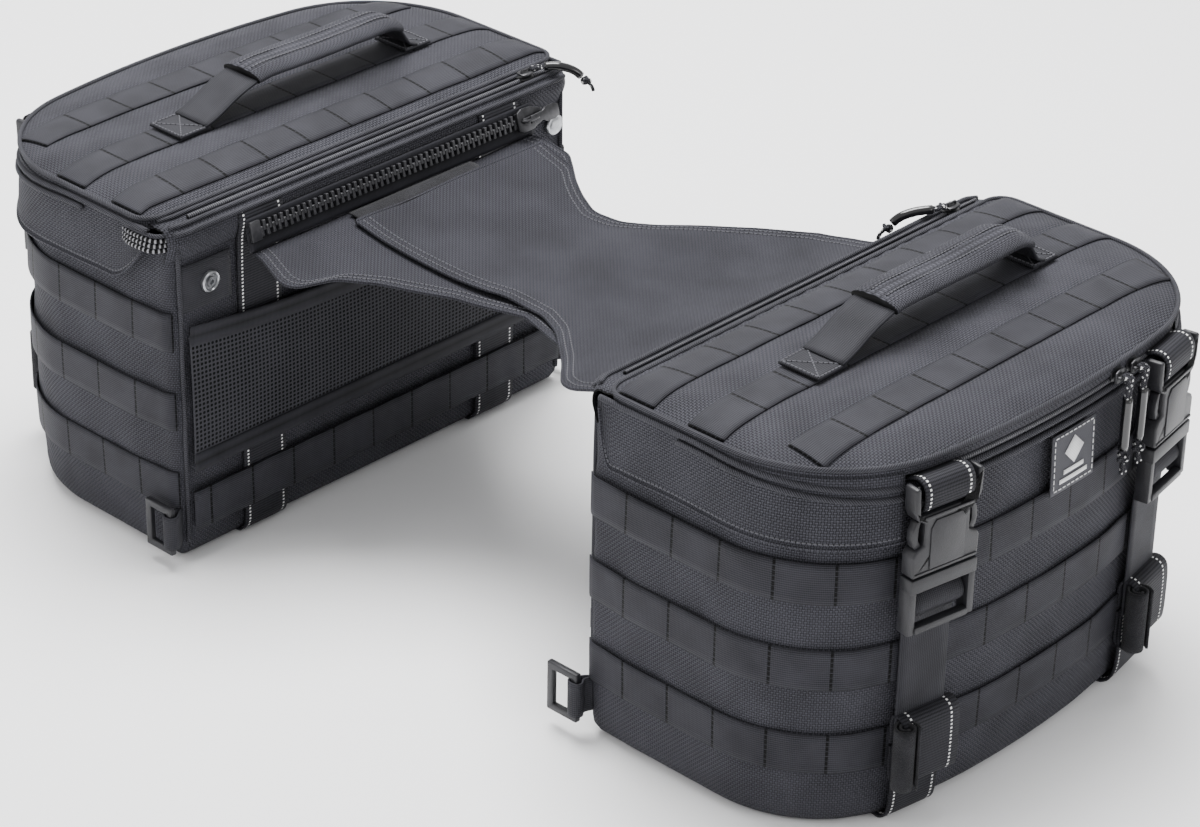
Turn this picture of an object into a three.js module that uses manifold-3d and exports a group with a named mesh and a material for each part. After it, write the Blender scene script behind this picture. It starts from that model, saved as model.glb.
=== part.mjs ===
// A pair of soft motorcycle saddlebags joined by a two-panel cloth yoke.
// Millimetres. +X runs from the left bag to the right bag, +Y along the bags to their far ends, +Z up.
// The origin is on the ground, midway between the bags.
//
// Each bag is drawn in its own frame: u outward from its inner face, v along its length, z up.
// The right bag's frame is only shifted; the left bag is its mirror image.

import * as THREE from "three";
import { mergeVertices } from "three/addons/utils/BufferGeometryUtils.js";
import Module from "manifold-3d";

const wasm = await Module();
wasm.setup();

// ---- driving dimensions ----

const GAP = 326; // between the bags' inner faces
const STAGGER = 48; // the right bag sits this much further back than the left one
const HALF = 192.5; // half of a bag's length
const DEPTH = 220; // inner face to the middle of the outer face
const OUTER_R = 783; // radius of the outer face in plan
const OUTER_HALF = THREE.MathUtils.degToRad(8); // half of the outer face's arc
const INNER_R = 14; // radius of the two inner corners
const HALF_TURN = Math.PI;
const QUARTER = Math.PI / 2;

const ZIP_END_ANGLE = THREE.MathUtils.degToRad(24.5); // the outer zip stops short of the far storm flap

const SHELL_TOP = 244;
const WALL = 4;
const LID_LOW = 248.5;
const LID_RIM = 256;
const FLAP_LOW = 208;
const HINGE_U = 20; // the lid turns about this line
const LID_INNER = HINGE_U + 0.5;

const WEB = 38; // width of the strap webbing
const STRAP_V = 112; // each strap's place along the bag
const ZIP_LOW = 224;
const ZIP_TOP = 246;

// The corner arc touches the outer arc and the flat end.
const CORNER_R = (HALF - OUTER_R * Math.sin(OUTER_HALF)) / (1 - Math.sin(OUTER_HALF));
const OUTER_CENTRE_U = DEPTH - OUTER_R;
const CORNER_U = OUTER_CENTRE_U + (OUTER_R - CORNER_R) * Math.cos(OUTER_HALF);
const CORNER_V = (OUTER_R - CORNER_R) * Math.sin(OUTER_HALF);

// How far the shell's faces stand inside the lid's outline, at each height: [z, inset].
const FACE = [[2.6, 20], [4.5, 14], [10, 10.5], [20, 9], [120, 5.5], [200, 4], [SHELL_TOP, 4]];

// ---- solids ----

/** The geometry with only its places, each shared corner kept once, so that its surface is closed. */
function welded(geometry) {
  const bare = geometry.clone();
  bare.deleteAttribute("normal");
  bare.deleteAttribute("uv");
  return mergeVertices(bare, 1e-4);
}

function toSolid(geometry) {
  const mesh = welded(geometry);
  return new wasm.Manifold(new wasm.Mesh({
    numProp: 3,
    vertProperties: new Float32Array(mesh.attributes.position.array),
    triVerts: new Uint32Array(mesh.index.array),
  }));
}

function toGeometry(solid) {
  const mesh = solid.getMesh();
  const geometry = new THREE.BufferGeometry();
  geometry.setAttribute("position", new THREE.BufferAttribute(mesh.vertProperties, 3));
  geometry.setIndex(new THREE.BufferAttribute(mesh.triVerts, 1));
  return geometry;
}

function join(first, ...others) {
  return toGeometry(others.reduce((sum, part) => sum.add(toSolid(part)), toSolid(first)));
}

function cut(first, ...tools) {
  return toGeometry(tools.reduce((rest, tool) => rest.subtract(toSolid(tool)), toSolid(first)));
}

function common(first, second) {
  return toGeometry(toSolid(first).intersect(toSolid(second)));
}

/** A closed skin through rings of equal point count, with both end rings filled. */
function loft(rings) {
  const count = rings[0].length;
  const places = rings.flat().flatMap((p) => [p.x, p.y, p.z]);
  const faces = [];
  for (let r = 0; r + 1 < rings.length; r++) {
    for (let i = 0; i < count; i++) {
      const next = (i + 1) % count;
      const [a, b, c, d] = [r * count + i, r * count + next, (r + 1) * count + next, (r + 1) * count + i];
      faces.push(a, b, c, a, c, d);
    }
  }
  const cap = (ring) => THREE.ShapeUtils.triangulateShape(ring.map((p) => new THREE.Vector2(p.x, p.y)), []);
  for (const [a, b, c] of cap(rings[0])) faces.push(a, c, b);
  const last = (rings.length - 1) * count;
  for (const [a, b, c] of cap(rings.at(-1))) faces.push(last + a, last + b, last + c);
  const geometry = new THREE.BufferGeometry();
  geometry.setAttribute("position", new THREE.Float32BufferAttribute(places, 3));
  geometry.setIndex(faces);
  return geometry;
}

const shapeOf = (points) => new THREE.Shape(points.map(([x, y]) => new THREE.Vector2(x, y)));

/** A plan shape (u, v) raised from low to high. */
function raised(shape, low, high) {
  const geometry = new THREE.ExtrudeGeometry(shape, { depth: high - low, bevelEnabled: false });
  return geometry.translate(0, 0, low);
}

/** A profile (u, z) carried along v, centred on v = 0. */
function across(points, width) {
  const geometry = new THREE.ExtrudeGeometry(shapeOf(points), { depth: width, bevelEnabled: false });
  return geometry.translate(0, 0, -width / 2).rotateX(QUARTER);
}

/** A face shape (v, z) made thick along u, from near to far. */
function facing(shape, near, far) {
  const geometry = new THREE.ExtrudeGeometry(shape, { depth: far - near, bevelEnabled: false });
  const turn = new THREE.Matrix4().makeBasis(
    new THREE.Vector3(0, 1, 0), new THREE.Vector3(0, 0, 1), new THREE.Vector3(1, 0, 0));
  return geometry.translate(0, 0, near).applyMatrix4(turn);
}

function block(u, v, z) {
  const geometry = new THREE.BoxGeometry(u[1] - u[0], v[1] - v[0], z[1] - z[0]);
  return geometry.translate((u[0] + u[1]) / 2, (v[0] + v[1]) / 2, (z[0] + z[1]) / 2);
}

// ---- a bag's outline in plan ----

/** Points on a corner arc: end is -1 near or +1 far, angles from the outward direction towards the end. */
function cornerArc(end, inset, from, to, steps) {
  const radius = CORNER_R - inset;
  return Array.from({ length: steps + 1 }, (_, i) => {
    const a = from + (to - from) * i / steps;
    return [CORNER_U + radius * Math.cos(a), end * (CORNER_V + radius * Math.sin(a))];
  });
}

/** Points on the outer face's arc between two angles about its centre. */
function outerArc(inset, from, to, steps) {
  const radius = OUTER_R - inset;
  return Array.from({ length: steps + 1 }, (_, i) => {
    const a = from + (to - from) * i / steps;
    return [OUTER_CENTRE_U + radius * Math.cos(a), radius * Math.sin(a)];
  });
}

/** A small inner corner, drawn from its first to its last angle. */
function innerCorner(end, inset, edge, from, to) {
  const radius = Math.max(INNER_R - inset, 1);
  const steps = 3;
  return Array.from({ length: steps + 1 }, (_, i) => {
    const a = from + (to - from) * i / steps;
    const u = edge + inset + radius + radius * Math.cos(a);
    return [u, end * (HALF - inset - radius) + radius * Math.sin(a)];
  });
}

/** The whole outline, anticlockwise from above, moved in by inset, with its inner side at u = edge. */
function outline(inset, edge = 0) {
  return [
    ...innerCorner(-1, inset, edge, HALF_TURN, HALF_TURN + QUARTER),
    ...cornerArc(-1, inset, QUARTER, OUTER_HALF, 8),
    ...outerArc(inset, -OUTER_HALF, OUTER_HALF, 8).slice(1, -1),
    ...cornerArc(1, inset, OUTER_HALF, QUARTER, 8),
    ...innerCorner(1, inset, edge, QUARTER, HALF_TURN),
  ];
}

const ring = (inset, z, edge) => outline(inset, edge).map(([u, v]) => new THREE.Vector3(u, v, z));

/** A band that follows the outer edge between two insets, through matching lists of points. */
const band = (outer, inner) => shapeOf([...outer, ...inner.reverse()]);

/** Moves a piece drawn with its outward side along +u to a strap's station: end is -1 near or +1 far. */
const STATION_ANGLE = Math.asin((STRAP_V - CORNER_V) / CORNER_R);
function atStation(geometry, end) {
  const u = CORNER_U + CORNER_R * Math.cos(STATION_ANGLE);
  return geometry.rotateZ(end * STATION_ANGLE).translate(u, end * STRAP_V, 0);
}

/** Moves a piece drawn at the outline, outward along +u, to an angle on the outer face. */
function atOuterFace(geometry, angle) {
  return geometry.translate(OUTER_R, 0, 0).rotateZ(angle).translate(OUTER_CENTRE_U, 0, 0);
}

// ---- the bag ----

/** The hollow box, open at the top, with a raised rail along its inner edge that the lid hinges on. */
function shell() {
  const outside = FACE.map(([z, inset]) => ring(inset, z));
  const inside = FACE.slice(3).reverse().map(([z, inset]) => ring(inset + WALL, z));
  const floor = [ring(14 + WALL, 9), ring(20 + WALL, 6.6)];
  const box = loft([...outside, ...inside, ...floor]);
  const profile = [[3.9, 236], [19, 240], [19, 254], [10, 254], [6, 251.5], [3.9, 247]];
  const rail = across(profile, 2 * HALF);
  const limit = raised(shapeOf(outline(4)), 230, 260);
  return join(box, common(rail, limit));
}

/** The domed top with a rim and the handle's sewn ends, and a storm flap at each end that hangs outside the shell. */
function lid() {
  const top = [[1, LID_LOW], [0.2, 251], [0, LID_RIM], [3, 258.5], [20, 261.5], [50, 265]];
  const under = [[50, 259], [20, 255.5], [6, 252.5], [5, LID_LOW]];
  const rings = [...under, ...top].map(([inset, z]) => ring(inset, z, LID_INNER));
  const flapEnd = Math.asin((142 - CORNER_V) / CORNER_R);
  const flap = (end) => {
    const side = (inset) => [[INNER_R, end * (HALF - inset)], ...cornerArc(end, inset, QUARTER, flapEnd, 7)];
    const shape = band(side(0.2), side(2.5));
    return raised(shape, FLAP_LOW, 253);
  };
  const anchor = (near, far) => block([84, 116], [near, far], [262, 266.8]);
  return join(loft(rings), flap(-1), flap(1), anchor(-107, -88), anchor(116, 129));
}

const baseBoard = () => raised(shapeOf(outline(26)), 7.2, 10.2);

const backBoard = () => block([13.6, 16], [-165, 165], [21, 226]);

/** The coil zip between the shell's rim and the lid, round the outer edge. */
function outerZip() {
  const side = (inset) => [
    ...outerArc(inset, Math.asin(-98 / OUTER_R), OUTER_HALF, 9),
    ...cornerArc(1, inset, OUTER_HALF, ZIP_END_ANGLE, 4).slice(1),
  ];
  return raised(band(side(0.8), side(5)), 244.4, 248.1);
}

const innerZip = () => block([7, 14], [-165, 178], [254.4, 256]);

/** Socket half of a side-release buckle, drawn outward along +u. */
function socket() {
  const body = shapeOf([
    [-26, 187], [26, 187], [26, 205], [21, 210], [21, 222], [25, 227], [25, 245],
    [20, 245], [20, 238], [-20, 238], [-20, 245], [-25, 245], [-25, 227], [-21, 222], [-21, 210], [-26, 205],
  ]);
  const cavity = block([5, 12.5], [-18.5, 18.5], [180, 224]);
  return cut(facing(body, 2.6, 15.6), cavity);
}

/** Plug half: a ladder frame for the webbing, with two arms and a guide that enter the socket. */
function plug() {
  const frame = facing(shapeOf([[-26, 147], [26, 147], [26, 186.6], [-26, 186.6]]), 2.6, 15.6);
  const slots = [[152, 160], [166, 174]].map((z) => block([0, 20], [-20, 20], z));
  const arm = (v) => block([5.6, 11.9], [v - 3.5, v + 3.5], [180, 216]);
  return join(cut(frame, ...slots), arm(-14), arm(0), arm(14));
}

const upperStrap = () => block([0.6, 2.3], [-WEB / 2, WEB / 2], [222, 247]);

/** Webbing down the inner face, under the bag and up the outer corner to the buckle. */
function lowerStrap(end) {
  const inner = across([
    [1.2, 220], [1.2, 10], [6, 3], [14, 0], [165, 0], [165, 2.2], [15, 2.2], [8, 5], [3.4, 11], [3.4, 220],
  ], WEB).translate(0, end * STRAP_V, 0);
  const outer = atStation(across([
    [0.7, 150], [0.7, 16], [-5, 5], [-16, 0], [-60, 0], [-60, 2.2], [-17, 2.2], [-7.5, 6.5], [-1.5, 17], [-1.5, 150],
  ], WEB), end);
  return join(inner, outer);
}

/** Elastic keeper round the strap, with the rolled end of its hook-and-loop on the near side. */
function strapKeeper() {
  const sleeve = new THREE.Shape();
  sleeve.moveTo(-4.2, -27).lineTo(6, -27).absarc(6, -23, 4, -QUARTER, 0).lineTo(10, 23);
  sleeve.absarc(6, 23, 4, 0, QUARTER).lineTo(-4.2, 27).closePath();
  const hole = block([-2.4, 2.2], [-21, 21], [20, 90]);
  const roll = new THREE.CylinderGeometry(9, 9, 44, 14).rotateX(QUARTER).translate(11, -19, 57);
  return join(cut(raised(sleeve, 31, 82), hole), cut(roll, hole));
}

/** Carry handle: a strap with a broad grip, arched over the middle of the lid, whose feet narrow to its pivot line. */
function handle() {
  const side = [
    [-84, 267.2], [-34, 288], [90, 290], [111, 267.2], [114.5, 267.2], [114.5, 270],
    [96, 296], [-36, 294], [-84, 270.6], [-86.5, 270], [-86.5, 267.2],
  ];
  const front = across([[97.7, 267.2], [102.3, 267.2], [116, 280], [116, 300], [84, 300], [84, 280]], 400);
  return common(facing(shapeOf(side), 84, 116), front);
}

/** Rectangular ring on the inner corner seam, drawn flat against the near end. */
function tieRing() {
  const frame = shapeOf([[2, 12], [28, 12], [28, 48], [2, 48]]);
  frame.holes.push(shapeOf([[7, 17], [7, 43], [23, 43], [23, 17]]));
  const geometry = new THREE.ExtrudeGeometry(frame, { depth: 4.5, bevelEnabled: false });
  return geometry.rotateX(QUARTER).translate(0, -HALF - 1.6, 0);
}
const RING_AXIS = [4.5, -HALF - 3.85]; // the bar that turns in the tab, in plan

const sliderBody = () => block([0.6, 5.4], [-6, 6], [246.6, 255]);

/** Cord pull with its stiff sleeve and end knot, hanging beside the slider. */
function hangingPull() {
  const profile = [[0, 184], [4, 186], [4.4, 192], [3, 197], [3.4, 199], [3.4, 236], [2.4, 238], [2.4, 251], [0, 252]];
  const geometry = new THREE.LatheGeometry(profile.map(([r, z]) => new THREE.Vector2(r, z)), 10);
  return geometry.rotateX(QUARTER).translate(10.4, 0, 0);
}

const innerSlider = () => block([5.5, 15.5], [146, 158], [256.4, 261.5]);

/** Cord pull that lies over the inner shoulder: past its slider on the left bag, and before it on the right one. */
function drapedPull(side) {
  const past = (distance) => 152 - side * distance;
  const route = [
    [10.5, past(9.4), 260.6], [8.4, past(15.5), 260.6], [1, past(25), 260], [-6, past(33), 256], [-11, past(39), 248.5],
  ];
  const path = new THREE.CatmullRomCurve3(route.map((p) => new THREE.Vector3(...p)));
  const section = new THREE.Shape().absarc(0, 0, 3, 0, 2 * HALF_TURN);
  return new THREE.ExtrudeGeometry(section, { steps: 10, curveSegments: 5, bevelEnabled: false, extrudePath: path });
}

const meshPocket = () => block([-2.2, 0.6], [-177, 177], [77, 176]);

/** Domed press-stud cap on the inner face, near the front seam. */
function snap() {
  const profile = [[0, 0], [8, 0], [8, 1.2], [6.4, 2.6], [4, 3.6], [0, 4]];
  const cap = new THREE.LatheGeometry(profile.map(([r, h]) => new THREE.Vector2(r, h)), 16);
  return cap.rotateZ(QUARTER).translate(3.4, -156, 214);
}

// ---- the yoke ----

const HINGE_GAP = 12; // from a yoke hinge line to the edge of its panel
const YOKE_HINGE_X = GAP / 2 - 6;
const PANEL_EDGE = YOKE_HINGE_X - HINGE_GAP;
const PANEL = 2.4; // thickness of a panel
const SADDLE_Z = 201; // height of the yoke's level middle
const SADDLE = [-30, 60]; // the level stretch, along x
const YOKE_RISE = 20;

/** Height of the lower panel's upper side at x. */
function yokeHeight(x) {
  const past = x < SADDLE[0] ? (SADDLE[0] - x) / (PANEL_EDGE + SADDLE[0]) : (x - SADDLE[1]) / (PANEL_EDGE - SADDLE[1]);
  return SADDLE_Z + YOKE_RISE * Math.pow(Math.max(past, 0), 1.6);
}

/** A panel of even thickness that follows the yoke's sag, cut to its plan. */
function yokePanel(plan, lift) {
  const xs = [-PANEL_EDGE, -128, -110, -92, -74, -52, ...SADDLE, 78, 92, 106, 120, 133, PANEL_EDGE];
  const top = xs.map((x) => [x, yokeHeight(x) + lift]);
  const bottom = top.map(([x, z]) => [x, z - PANEL]).reverse();
  return common(across([...top, ...bottom], 500), raised(shapeOf(plan), 150, 280));
}

function yokeLowerPanel() {
  return yokePanel([
    [-PANEL_EDGE, -150], [-120, -156], [-110, -150], [-107, -120], [-86, -101], [-43, -72], [8, -56], [60, -72],
    [60, 150], [34, 138], [4, 114], [-17, 94], [-38, 80], [-60, 76], [-80, 85], [-96, 95], [-108, 109], [-124, 121],
    [-PANEL_EDGE, 118],
  ], 0);
}

function yokeUpperPanel() {
  return yokePanel([
    [-140, -70], [-115, -68], [-56, -59], [-17, -50], [20, -52], [42, -62], [74, -90], [100, -118], [114, -124],
    [PANEL_EDGE, -120], [PANEL_EDGE, 166], [112, 168], [95, 170], [68, 167], [34, 144], [4, 118], [-17, 97], [-38, 83],
    [-60, 79], [-80, 88], [-96, 98], [-108, 108], [-140, 110],
  ], 3.5);
}

/** Moulded-tooth zip on a bag's inner face, which takes one end of the yoke. */
const yokeZip = () => block([-4.6, 0.8], [-125, 141], [ZIP_LOW, ZIP_TOP]);

const yokeSlider = () => block([-12.4, -5], [126, 150], [227, 243]);

// ---- finishes ----

const finish = (color, roughness, metalness = 0) => new THREE.MeshStandardMaterial({ color, roughness, metalness });
const NYLON = finish(0x333338, 0.85);
const RIBBED = finish(0x3a3a3f, 0.9);
const WEBBING = finish(0x2b2b30, 0.8);
const MESH = finish(0x1c1c20, 0.8);
const ACETAL = finish(0x26262a, 0.5);
const COIL = finish(0x18181b, 0.55);
const GUNMETAL = finish(0x2a2a2d, 0.4, 0.8);
const NICKEL = finish(0xb4b6ba, 0.3, 1);
const BOARD = finish(0x18181a, 0.7);
const CORD = finish(0x202024, 0.6);

// ---- assembly ----

/** A geometry reflected in the plane x = 0, with its faces turned so that they still point out. */
function reflected(geometry) {
  const mirror = welded(geometry).scale(-1, 1, 1);
  const index = mirror.index.array;
  for (let i = 0; i < index.length; i += 3) [index[i], index[i + 1]] = [index[i + 1], index[i]];
  return mirror;
}

const SLIDER_ANGLES = { a: THREE.MathUtils.degToRad(4.1), b: THREE.MathUtils.degToRad(5.4) }; // places on the outer face, near one first

/** The right bag's tie ring points away from its end; the left bag's lies against it. */
function placedRing(side, end) {
  const open = side > 0 && end < 0 ? HALF_TURN : 0;
  const [u, v] = RING_AXIS;
  const geometry = tieRing().translate(-u, -v, 0).rotateZ(-open).translate(u, v, 0);
  return end < 0 ? geometry : reflected(geometry.rotateZ(QUARTER)).rotateZ(-QUARTER);
}

/** Every piece of one bag as [name, geometry, material], in the bag's own frame. */
function bagPieces(side) {
  const pieces = [
    ["shell", shell(), NYLON],
    ["lid", lid(), NYLON],
    ["base_board", baseBoard(), BOARD],
    ["back_board", backBoard(), BOARD],
    ["outer_zip", outerZip(), COIL],
    ["inner_zip", innerZip(), COIL],
    ["handle", handle(), WEBBING],
    ["inner_slider", innerSlider(), GUNMETAL],
    ["inner_pull", drapedPull(side), CORD],
    ["mesh_pocket", meshPocket(), MESH],
    ["snap", snap(), NICKEL],
  ];
  for (const [name, end] of [["front", -1], ["rear", 1]]) {
    pieces.push(
      [`${name}_buckle_socket`, atStation(socket(), end), ACETAL],
      [`${name}_buckle_plug`, atStation(plug(), end), ACETAL],
      [`${name}_upper_strap`, atStation(upperStrap(), end), WEBBING],
      [`${name}_lower_strap`, lowerStrap(end), WEBBING],
      [`${name}_strap_keeper`, atStation(strapKeeper(), end), WEBBING],
      [`${name}_tie_ring`, placedRing(side, end), ACETAL],
    );
  }
  for (const [letter, angle] of Object.entries(SLIDER_ANGLES)) {
    pieces.push(
      [`outer_slider_${letter}`, atOuterFace(sliderBody(), angle), GUNMETAL],
      [`outer_pull_${letter}`, atOuterFace(hangingPull(), angle), CORD],
    );
  }
  return pieces;
}

function named(name, geometry, material) {
  const mesh = new THREE.Mesh(geometry, material);
  mesh.name = name;
  return mesh;
}

const saddlebags = new THREE.Group();
for (const [word, side] of [["left", -1], ["right", 1]]) {
  const bag = new THREE.Group();
  bag.position.set(side * GAP / 2, side * STAGGER / 2, 0);
  const own = (geometry) => (side > 0 ? welded(geometry) : reflected(geometry));
  for (const [name, geometry, material] of bagPieces(side)) {
    bag.add(named(`${word}_${name}`, own(geometry), material));
  }
  bag.add(named(`yoke_zip_${word}`, own(yokeZip()), COIL));
  bag.add(named(`yoke_slider_${word}`, own(yokeSlider()), GUNMETAL));
  saddlebags.add(bag);
}
saddlebags.add(named("yoke_lower_panel", welded(yokeLowerPanel()), RIBBED));
saddlebags.add(named("yoke_upper_panel", welded(yokeUpperPanel()), RIBBED));

export default saddlebags;
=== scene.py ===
import math

import bmesh
import bpy
import numpy as np
from mathutils import Matrix, Vector, noise


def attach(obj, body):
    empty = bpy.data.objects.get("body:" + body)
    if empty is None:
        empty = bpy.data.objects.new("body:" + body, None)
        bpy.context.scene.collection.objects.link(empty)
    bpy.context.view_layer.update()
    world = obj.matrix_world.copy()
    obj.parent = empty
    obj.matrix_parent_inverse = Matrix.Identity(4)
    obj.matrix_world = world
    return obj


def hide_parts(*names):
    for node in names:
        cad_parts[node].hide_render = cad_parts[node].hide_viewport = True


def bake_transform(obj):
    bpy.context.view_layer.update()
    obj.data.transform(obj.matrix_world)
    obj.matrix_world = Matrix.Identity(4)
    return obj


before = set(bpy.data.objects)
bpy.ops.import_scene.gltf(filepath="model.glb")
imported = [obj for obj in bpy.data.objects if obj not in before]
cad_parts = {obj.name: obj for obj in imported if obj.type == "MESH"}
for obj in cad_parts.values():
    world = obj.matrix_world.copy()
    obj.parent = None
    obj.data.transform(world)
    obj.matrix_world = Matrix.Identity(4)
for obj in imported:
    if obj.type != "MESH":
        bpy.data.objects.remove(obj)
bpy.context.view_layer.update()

# Sizes are in millimetres until a piece is finished, and in metres from then on.
# A bag is drawn in its own frame: u out from its inner face, v along it to the far end, z up.
MM = 0.001
GAP = 326
STAGGER = 48
HALF = 192.5
OUTER_R = 783
OUTER_HALF = math.radians(8)
CORNER_R = (HALF - OUTER_R * math.sin(OUTER_HALF)) / (1 - math.sin(OUTER_HALF))
OUTER_CENTRE_U = 220 - OUTER_R
CORNER_U = OUTER_CENTRE_U + (OUTER_R - CORNER_R) * math.cos(OUTER_HALF)
CORNER_V = (OUTER_R - CORNER_R) * math.sin(OUTER_HALF)
INNER_R = 14
LID_INNER = 20.5
STRAP_V = 112
STRAP_ANGLE = math.asin((STRAP_V - CORNER_V) / CORNER_R)
FLAP_ANGLE = math.radians(23)
BELT_ROWS = (178, 118, 57)
LID_ROWS = (44, 100, 162)
STITCH_STEP = 38


# ---- camera, floor and light ----

def make_camera():
    azimuth, down, roll = (math.radians(a) for a in (42.90, 29.23, 1.13))
    forward = Vector((-math.sin(azimuth) * math.cos(down), math.cos(azimuth) * math.cos(down), -math.sin(down)))
    right = Vector((math.cos(azimuth), math.sin(azimuth), 0))
    up = right.cross(forward)
    tilted_right = right * math.cos(roll) + up * math.sin(roll)
    tilted_up = up * math.cos(roll) - right * math.sin(roll)
    data = bpy.data.cameras.new("camera")
    data.lens = 110.8
    data.sensor_width = 36
    data.clip_end = 20
    camera = bpy.data.objects.new("camera", data)
    turn = Matrix((tilted_right, tilted_up, -forward)).transposed()
    camera.matrix_world = Matrix.Translation(Vector((1508.0, -1597.4, 1331.2)) * MM) @ turn.to_4x4()
    bpy.context.scene.collection.objects.link(camera)
    bpy.context.scene.camera = camera


def softbox(name, place, target, size, power):
    data = bpy.data.lights.new(name, "AREA")
    data.shape = "RECTANGLE"
    data.size, data.size_y = size
    data.energy = power
    light = bpy.data.objects.new(name, data)
    light.location = place
    light.rotation_euler = (Vector(target) - Vector(place)).to_track_quat("-Z", "Y").to_euler()
    bpy.context.scene.collection.objects.link(light)


make_camera()
softbox("top_softbox", (-0.6, 0.4, 2.6), (0, 0, 0.1), (1.8, 1.8), 190)
softbox("front_softbox", (-1.5, -2.4, 1.5), (0, 0, 0.1), (1.2, 0.9), 16)
softbox("side_softbox", (2.8, 0.2, 1.3), (0.1, 0, 0.1), (1.0, 1.0), 12)


# ---- nodes and materials ----

def linear(code):
    """An sRGB hex colour as linear RGBA."""
    parts = [int(code[i:i + 2], 16) / 255 for i in (1, 3, 5)]
    return (*[p / 12.92 if p <= 0.04045 else ((p + 0.055) / 1.055) ** 2.4 for p in parts], 1.0)


def add_node(tree, kind, settings=None, **inputs):
    """Adds a node with its settings. Each input is a value, a node or a socket; i0, i1 name inputs by place."""
    made = tree.nodes.new(kind)
    for key, value in (settings or {}).items():
        setattr(made, key, value)
    for key, value in inputs.items():
        by_place = key[0] == "i" and key[1:].isdigit()
        socket = made.inputs[int(key[1:])] if by_place else made.inputs[key.replace("_", " ")]
        if isinstance(value, bpy.types.Node):
            tree.links.new(value.outputs[0], socket)
        elif isinstance(value, bpy.types.NodeSocket):
            tree.links.new(value, socket)
        else:
            socket.default_value = value
    return made


MATH = "ShaderNodeMath"
MIX = "ShaderNodeMix"


def new_finish(name, roughness, metallic=0.0, sheen=0.0, coat=0.0, ior=1.5, specular=0.12):
    """An empty material with its shader, whose steady values stand on the shader itself."""
    material = bpy.data.materials.new(name)
    material.use_nodes = True
    tree = material.node_tree
    shader = tree.nodes["Principled BSDF"]
    shader.inputs["Roughness"].default_value = roughness
    shader.inputs["Metallic"].default_value = metallic
    shader.inputs["Sheen Weight"].default_value = sheen
    shader.inputs["Sheen Roughness"].default_value = 0.45
    shader.inputs["Coat Weight"].default_value = coat
    shader.inputs["IOR"].default_value = ior
    shader.inputs["Specular IOR Level"].default_value = specular
    return material, tree, shader


def flat_mm(tree):
    """The piece's own flat coordinates in mm, as (along, across)."""
    flat = add_node(tree, "ShaderNodeUVMap", {"uv_map": "flat"})
    split = add_node(tree, "ShaderNodeSeparateXYZ", i0=flat)
    return split.outputs[0], split.outputs[1]


def wave(tree, coordinate, period):
    """A sine of the coordinate, one full turn each period."""
    turned = add_node(tree, MATH, {"operation": "MULTIPLY"}, i0=coordinate, i1=2 * math.pi / period)
    return add_node(tree, MATH, {"operation": "SINE"}, i0=turned)


def rib(tree, coordinate, period):
    """Round ribs side by side, 0 in the groove and 1 on the crown."""
    return add_node(tree, MATH, {"operation": "ABSOLUTE"}, i0=wave(tree, coordinate, 2 * period))


def near_line(tree, coordinate, place, width, softness=0.4):
    """1 within width/2 of the line at place, falling to 0 past it."""
    off = add_node(tree, MATH, {"operation": "SUBTRACT"}, i0=coordinate, i1=place)
    gap = add_node(tree, MATH, {"operation": "ABSOLUTE"}, i0=off)
    return add_node(tree, "ShaderNodeMapRange", {"clamp": True}, Value=gap, From_Min=width / 2 + softness,
                    From_Max=width / 2, To_Min=0.0, To_Max=1.0)


def cells(tree, coordinate, step):
    """The coordinate from the middle of its cell, cells being one step long."""
    share = add_node(tree, MATH, {"operation": "DIVIDE"}, i0=coordinate, i1=step)
    part = add_node(tree, MATH, {"operation": "FRACT"}, i0=share)
    centred = add_node(tree, MATH, {"operation": "SUBTRACT"}, i0=part, i1=0.5)
    return add_node(tree, MATH, {"operation": "MULTIPLY"}, i0=centred, i1=step)


def basket_weave(tree, pitch):
    """Yarns over and under each other: each cell shows the crown of a warp yarn or of a weft yarn."""
    along, across = flat_mm(tree)
    first, second = wave(tree, along, 2 * pitch), wave(tree, across, 2 * pitch)
    product = add_node(tree, MATH, {"operation": "MULTIPLY"}, i0=first, i1=second)
    over = add_node(tree, MATH, {"operation": "GREATER_THAN"}, i0=product, i1=0.0)
    warp = add_node(tree, MATH, {"operation": "ABSOLUTE"}, i0=first)
    weft = add_node(tree, MATH, {"operation": "ABSOLUTE"}, i0=second)
    return add_node(tree, MIX, Factor=over, A=warp, B=weft), over


def shade(tree, height, low, high, patches=0.25, size=40.0):
    """A colour from low to high by height, with slow patches of wear across the piece. Where the height is a weave or
    ribs, the dark grooves are painted shade and the pale crowns painted light.
    """
    place = add_node(tree, "ShaderNodeTexCoord").outputs["Object"]
    cloud = add_node(tree, "ShaderNodeTexNoise", Vector=place, Scale=1000 / size, Detail=3.0)
    spread = add_node(tree, "ShaderNodeMapRange", Value=cloud, From_Min=0.3, From_Max=0.7, To_Min=-patches / 2,
                      To_Max=patches / 2)
    amount = add_node(tree, MATH, {"operation": "ADD", "use_clamp": True}, i0=height, i1=spread)
    return add_node(tree, MIX, {"data_type": "RGBA"}, Factor=amount, A=linear(low), B=linear(high))


def mixed_colour(tree, factor, below, above):
    return add_node(tree, MIX, {"data_type": "RGBA"}, Factor=factor, A=below, B=above)


def colour_of(mix):
    """The colour output of a colour mix, which has one output for each kind of value."""
    return mix.outputs["Result"] if mix.data_type != "RGBA" else mix.outputs[2]


def raise_surface(tree, shader, height, depth):
    """The pattern as relief, depth in mm from groove to crown."""
    bump = add_node(tree, "ShaderNodeBump", Height=height, Distance=depth * MM, Strength=1.0)
    tree.links.new(bump.outputs[0], shader.inputs["Normal"])
    return bump


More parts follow.
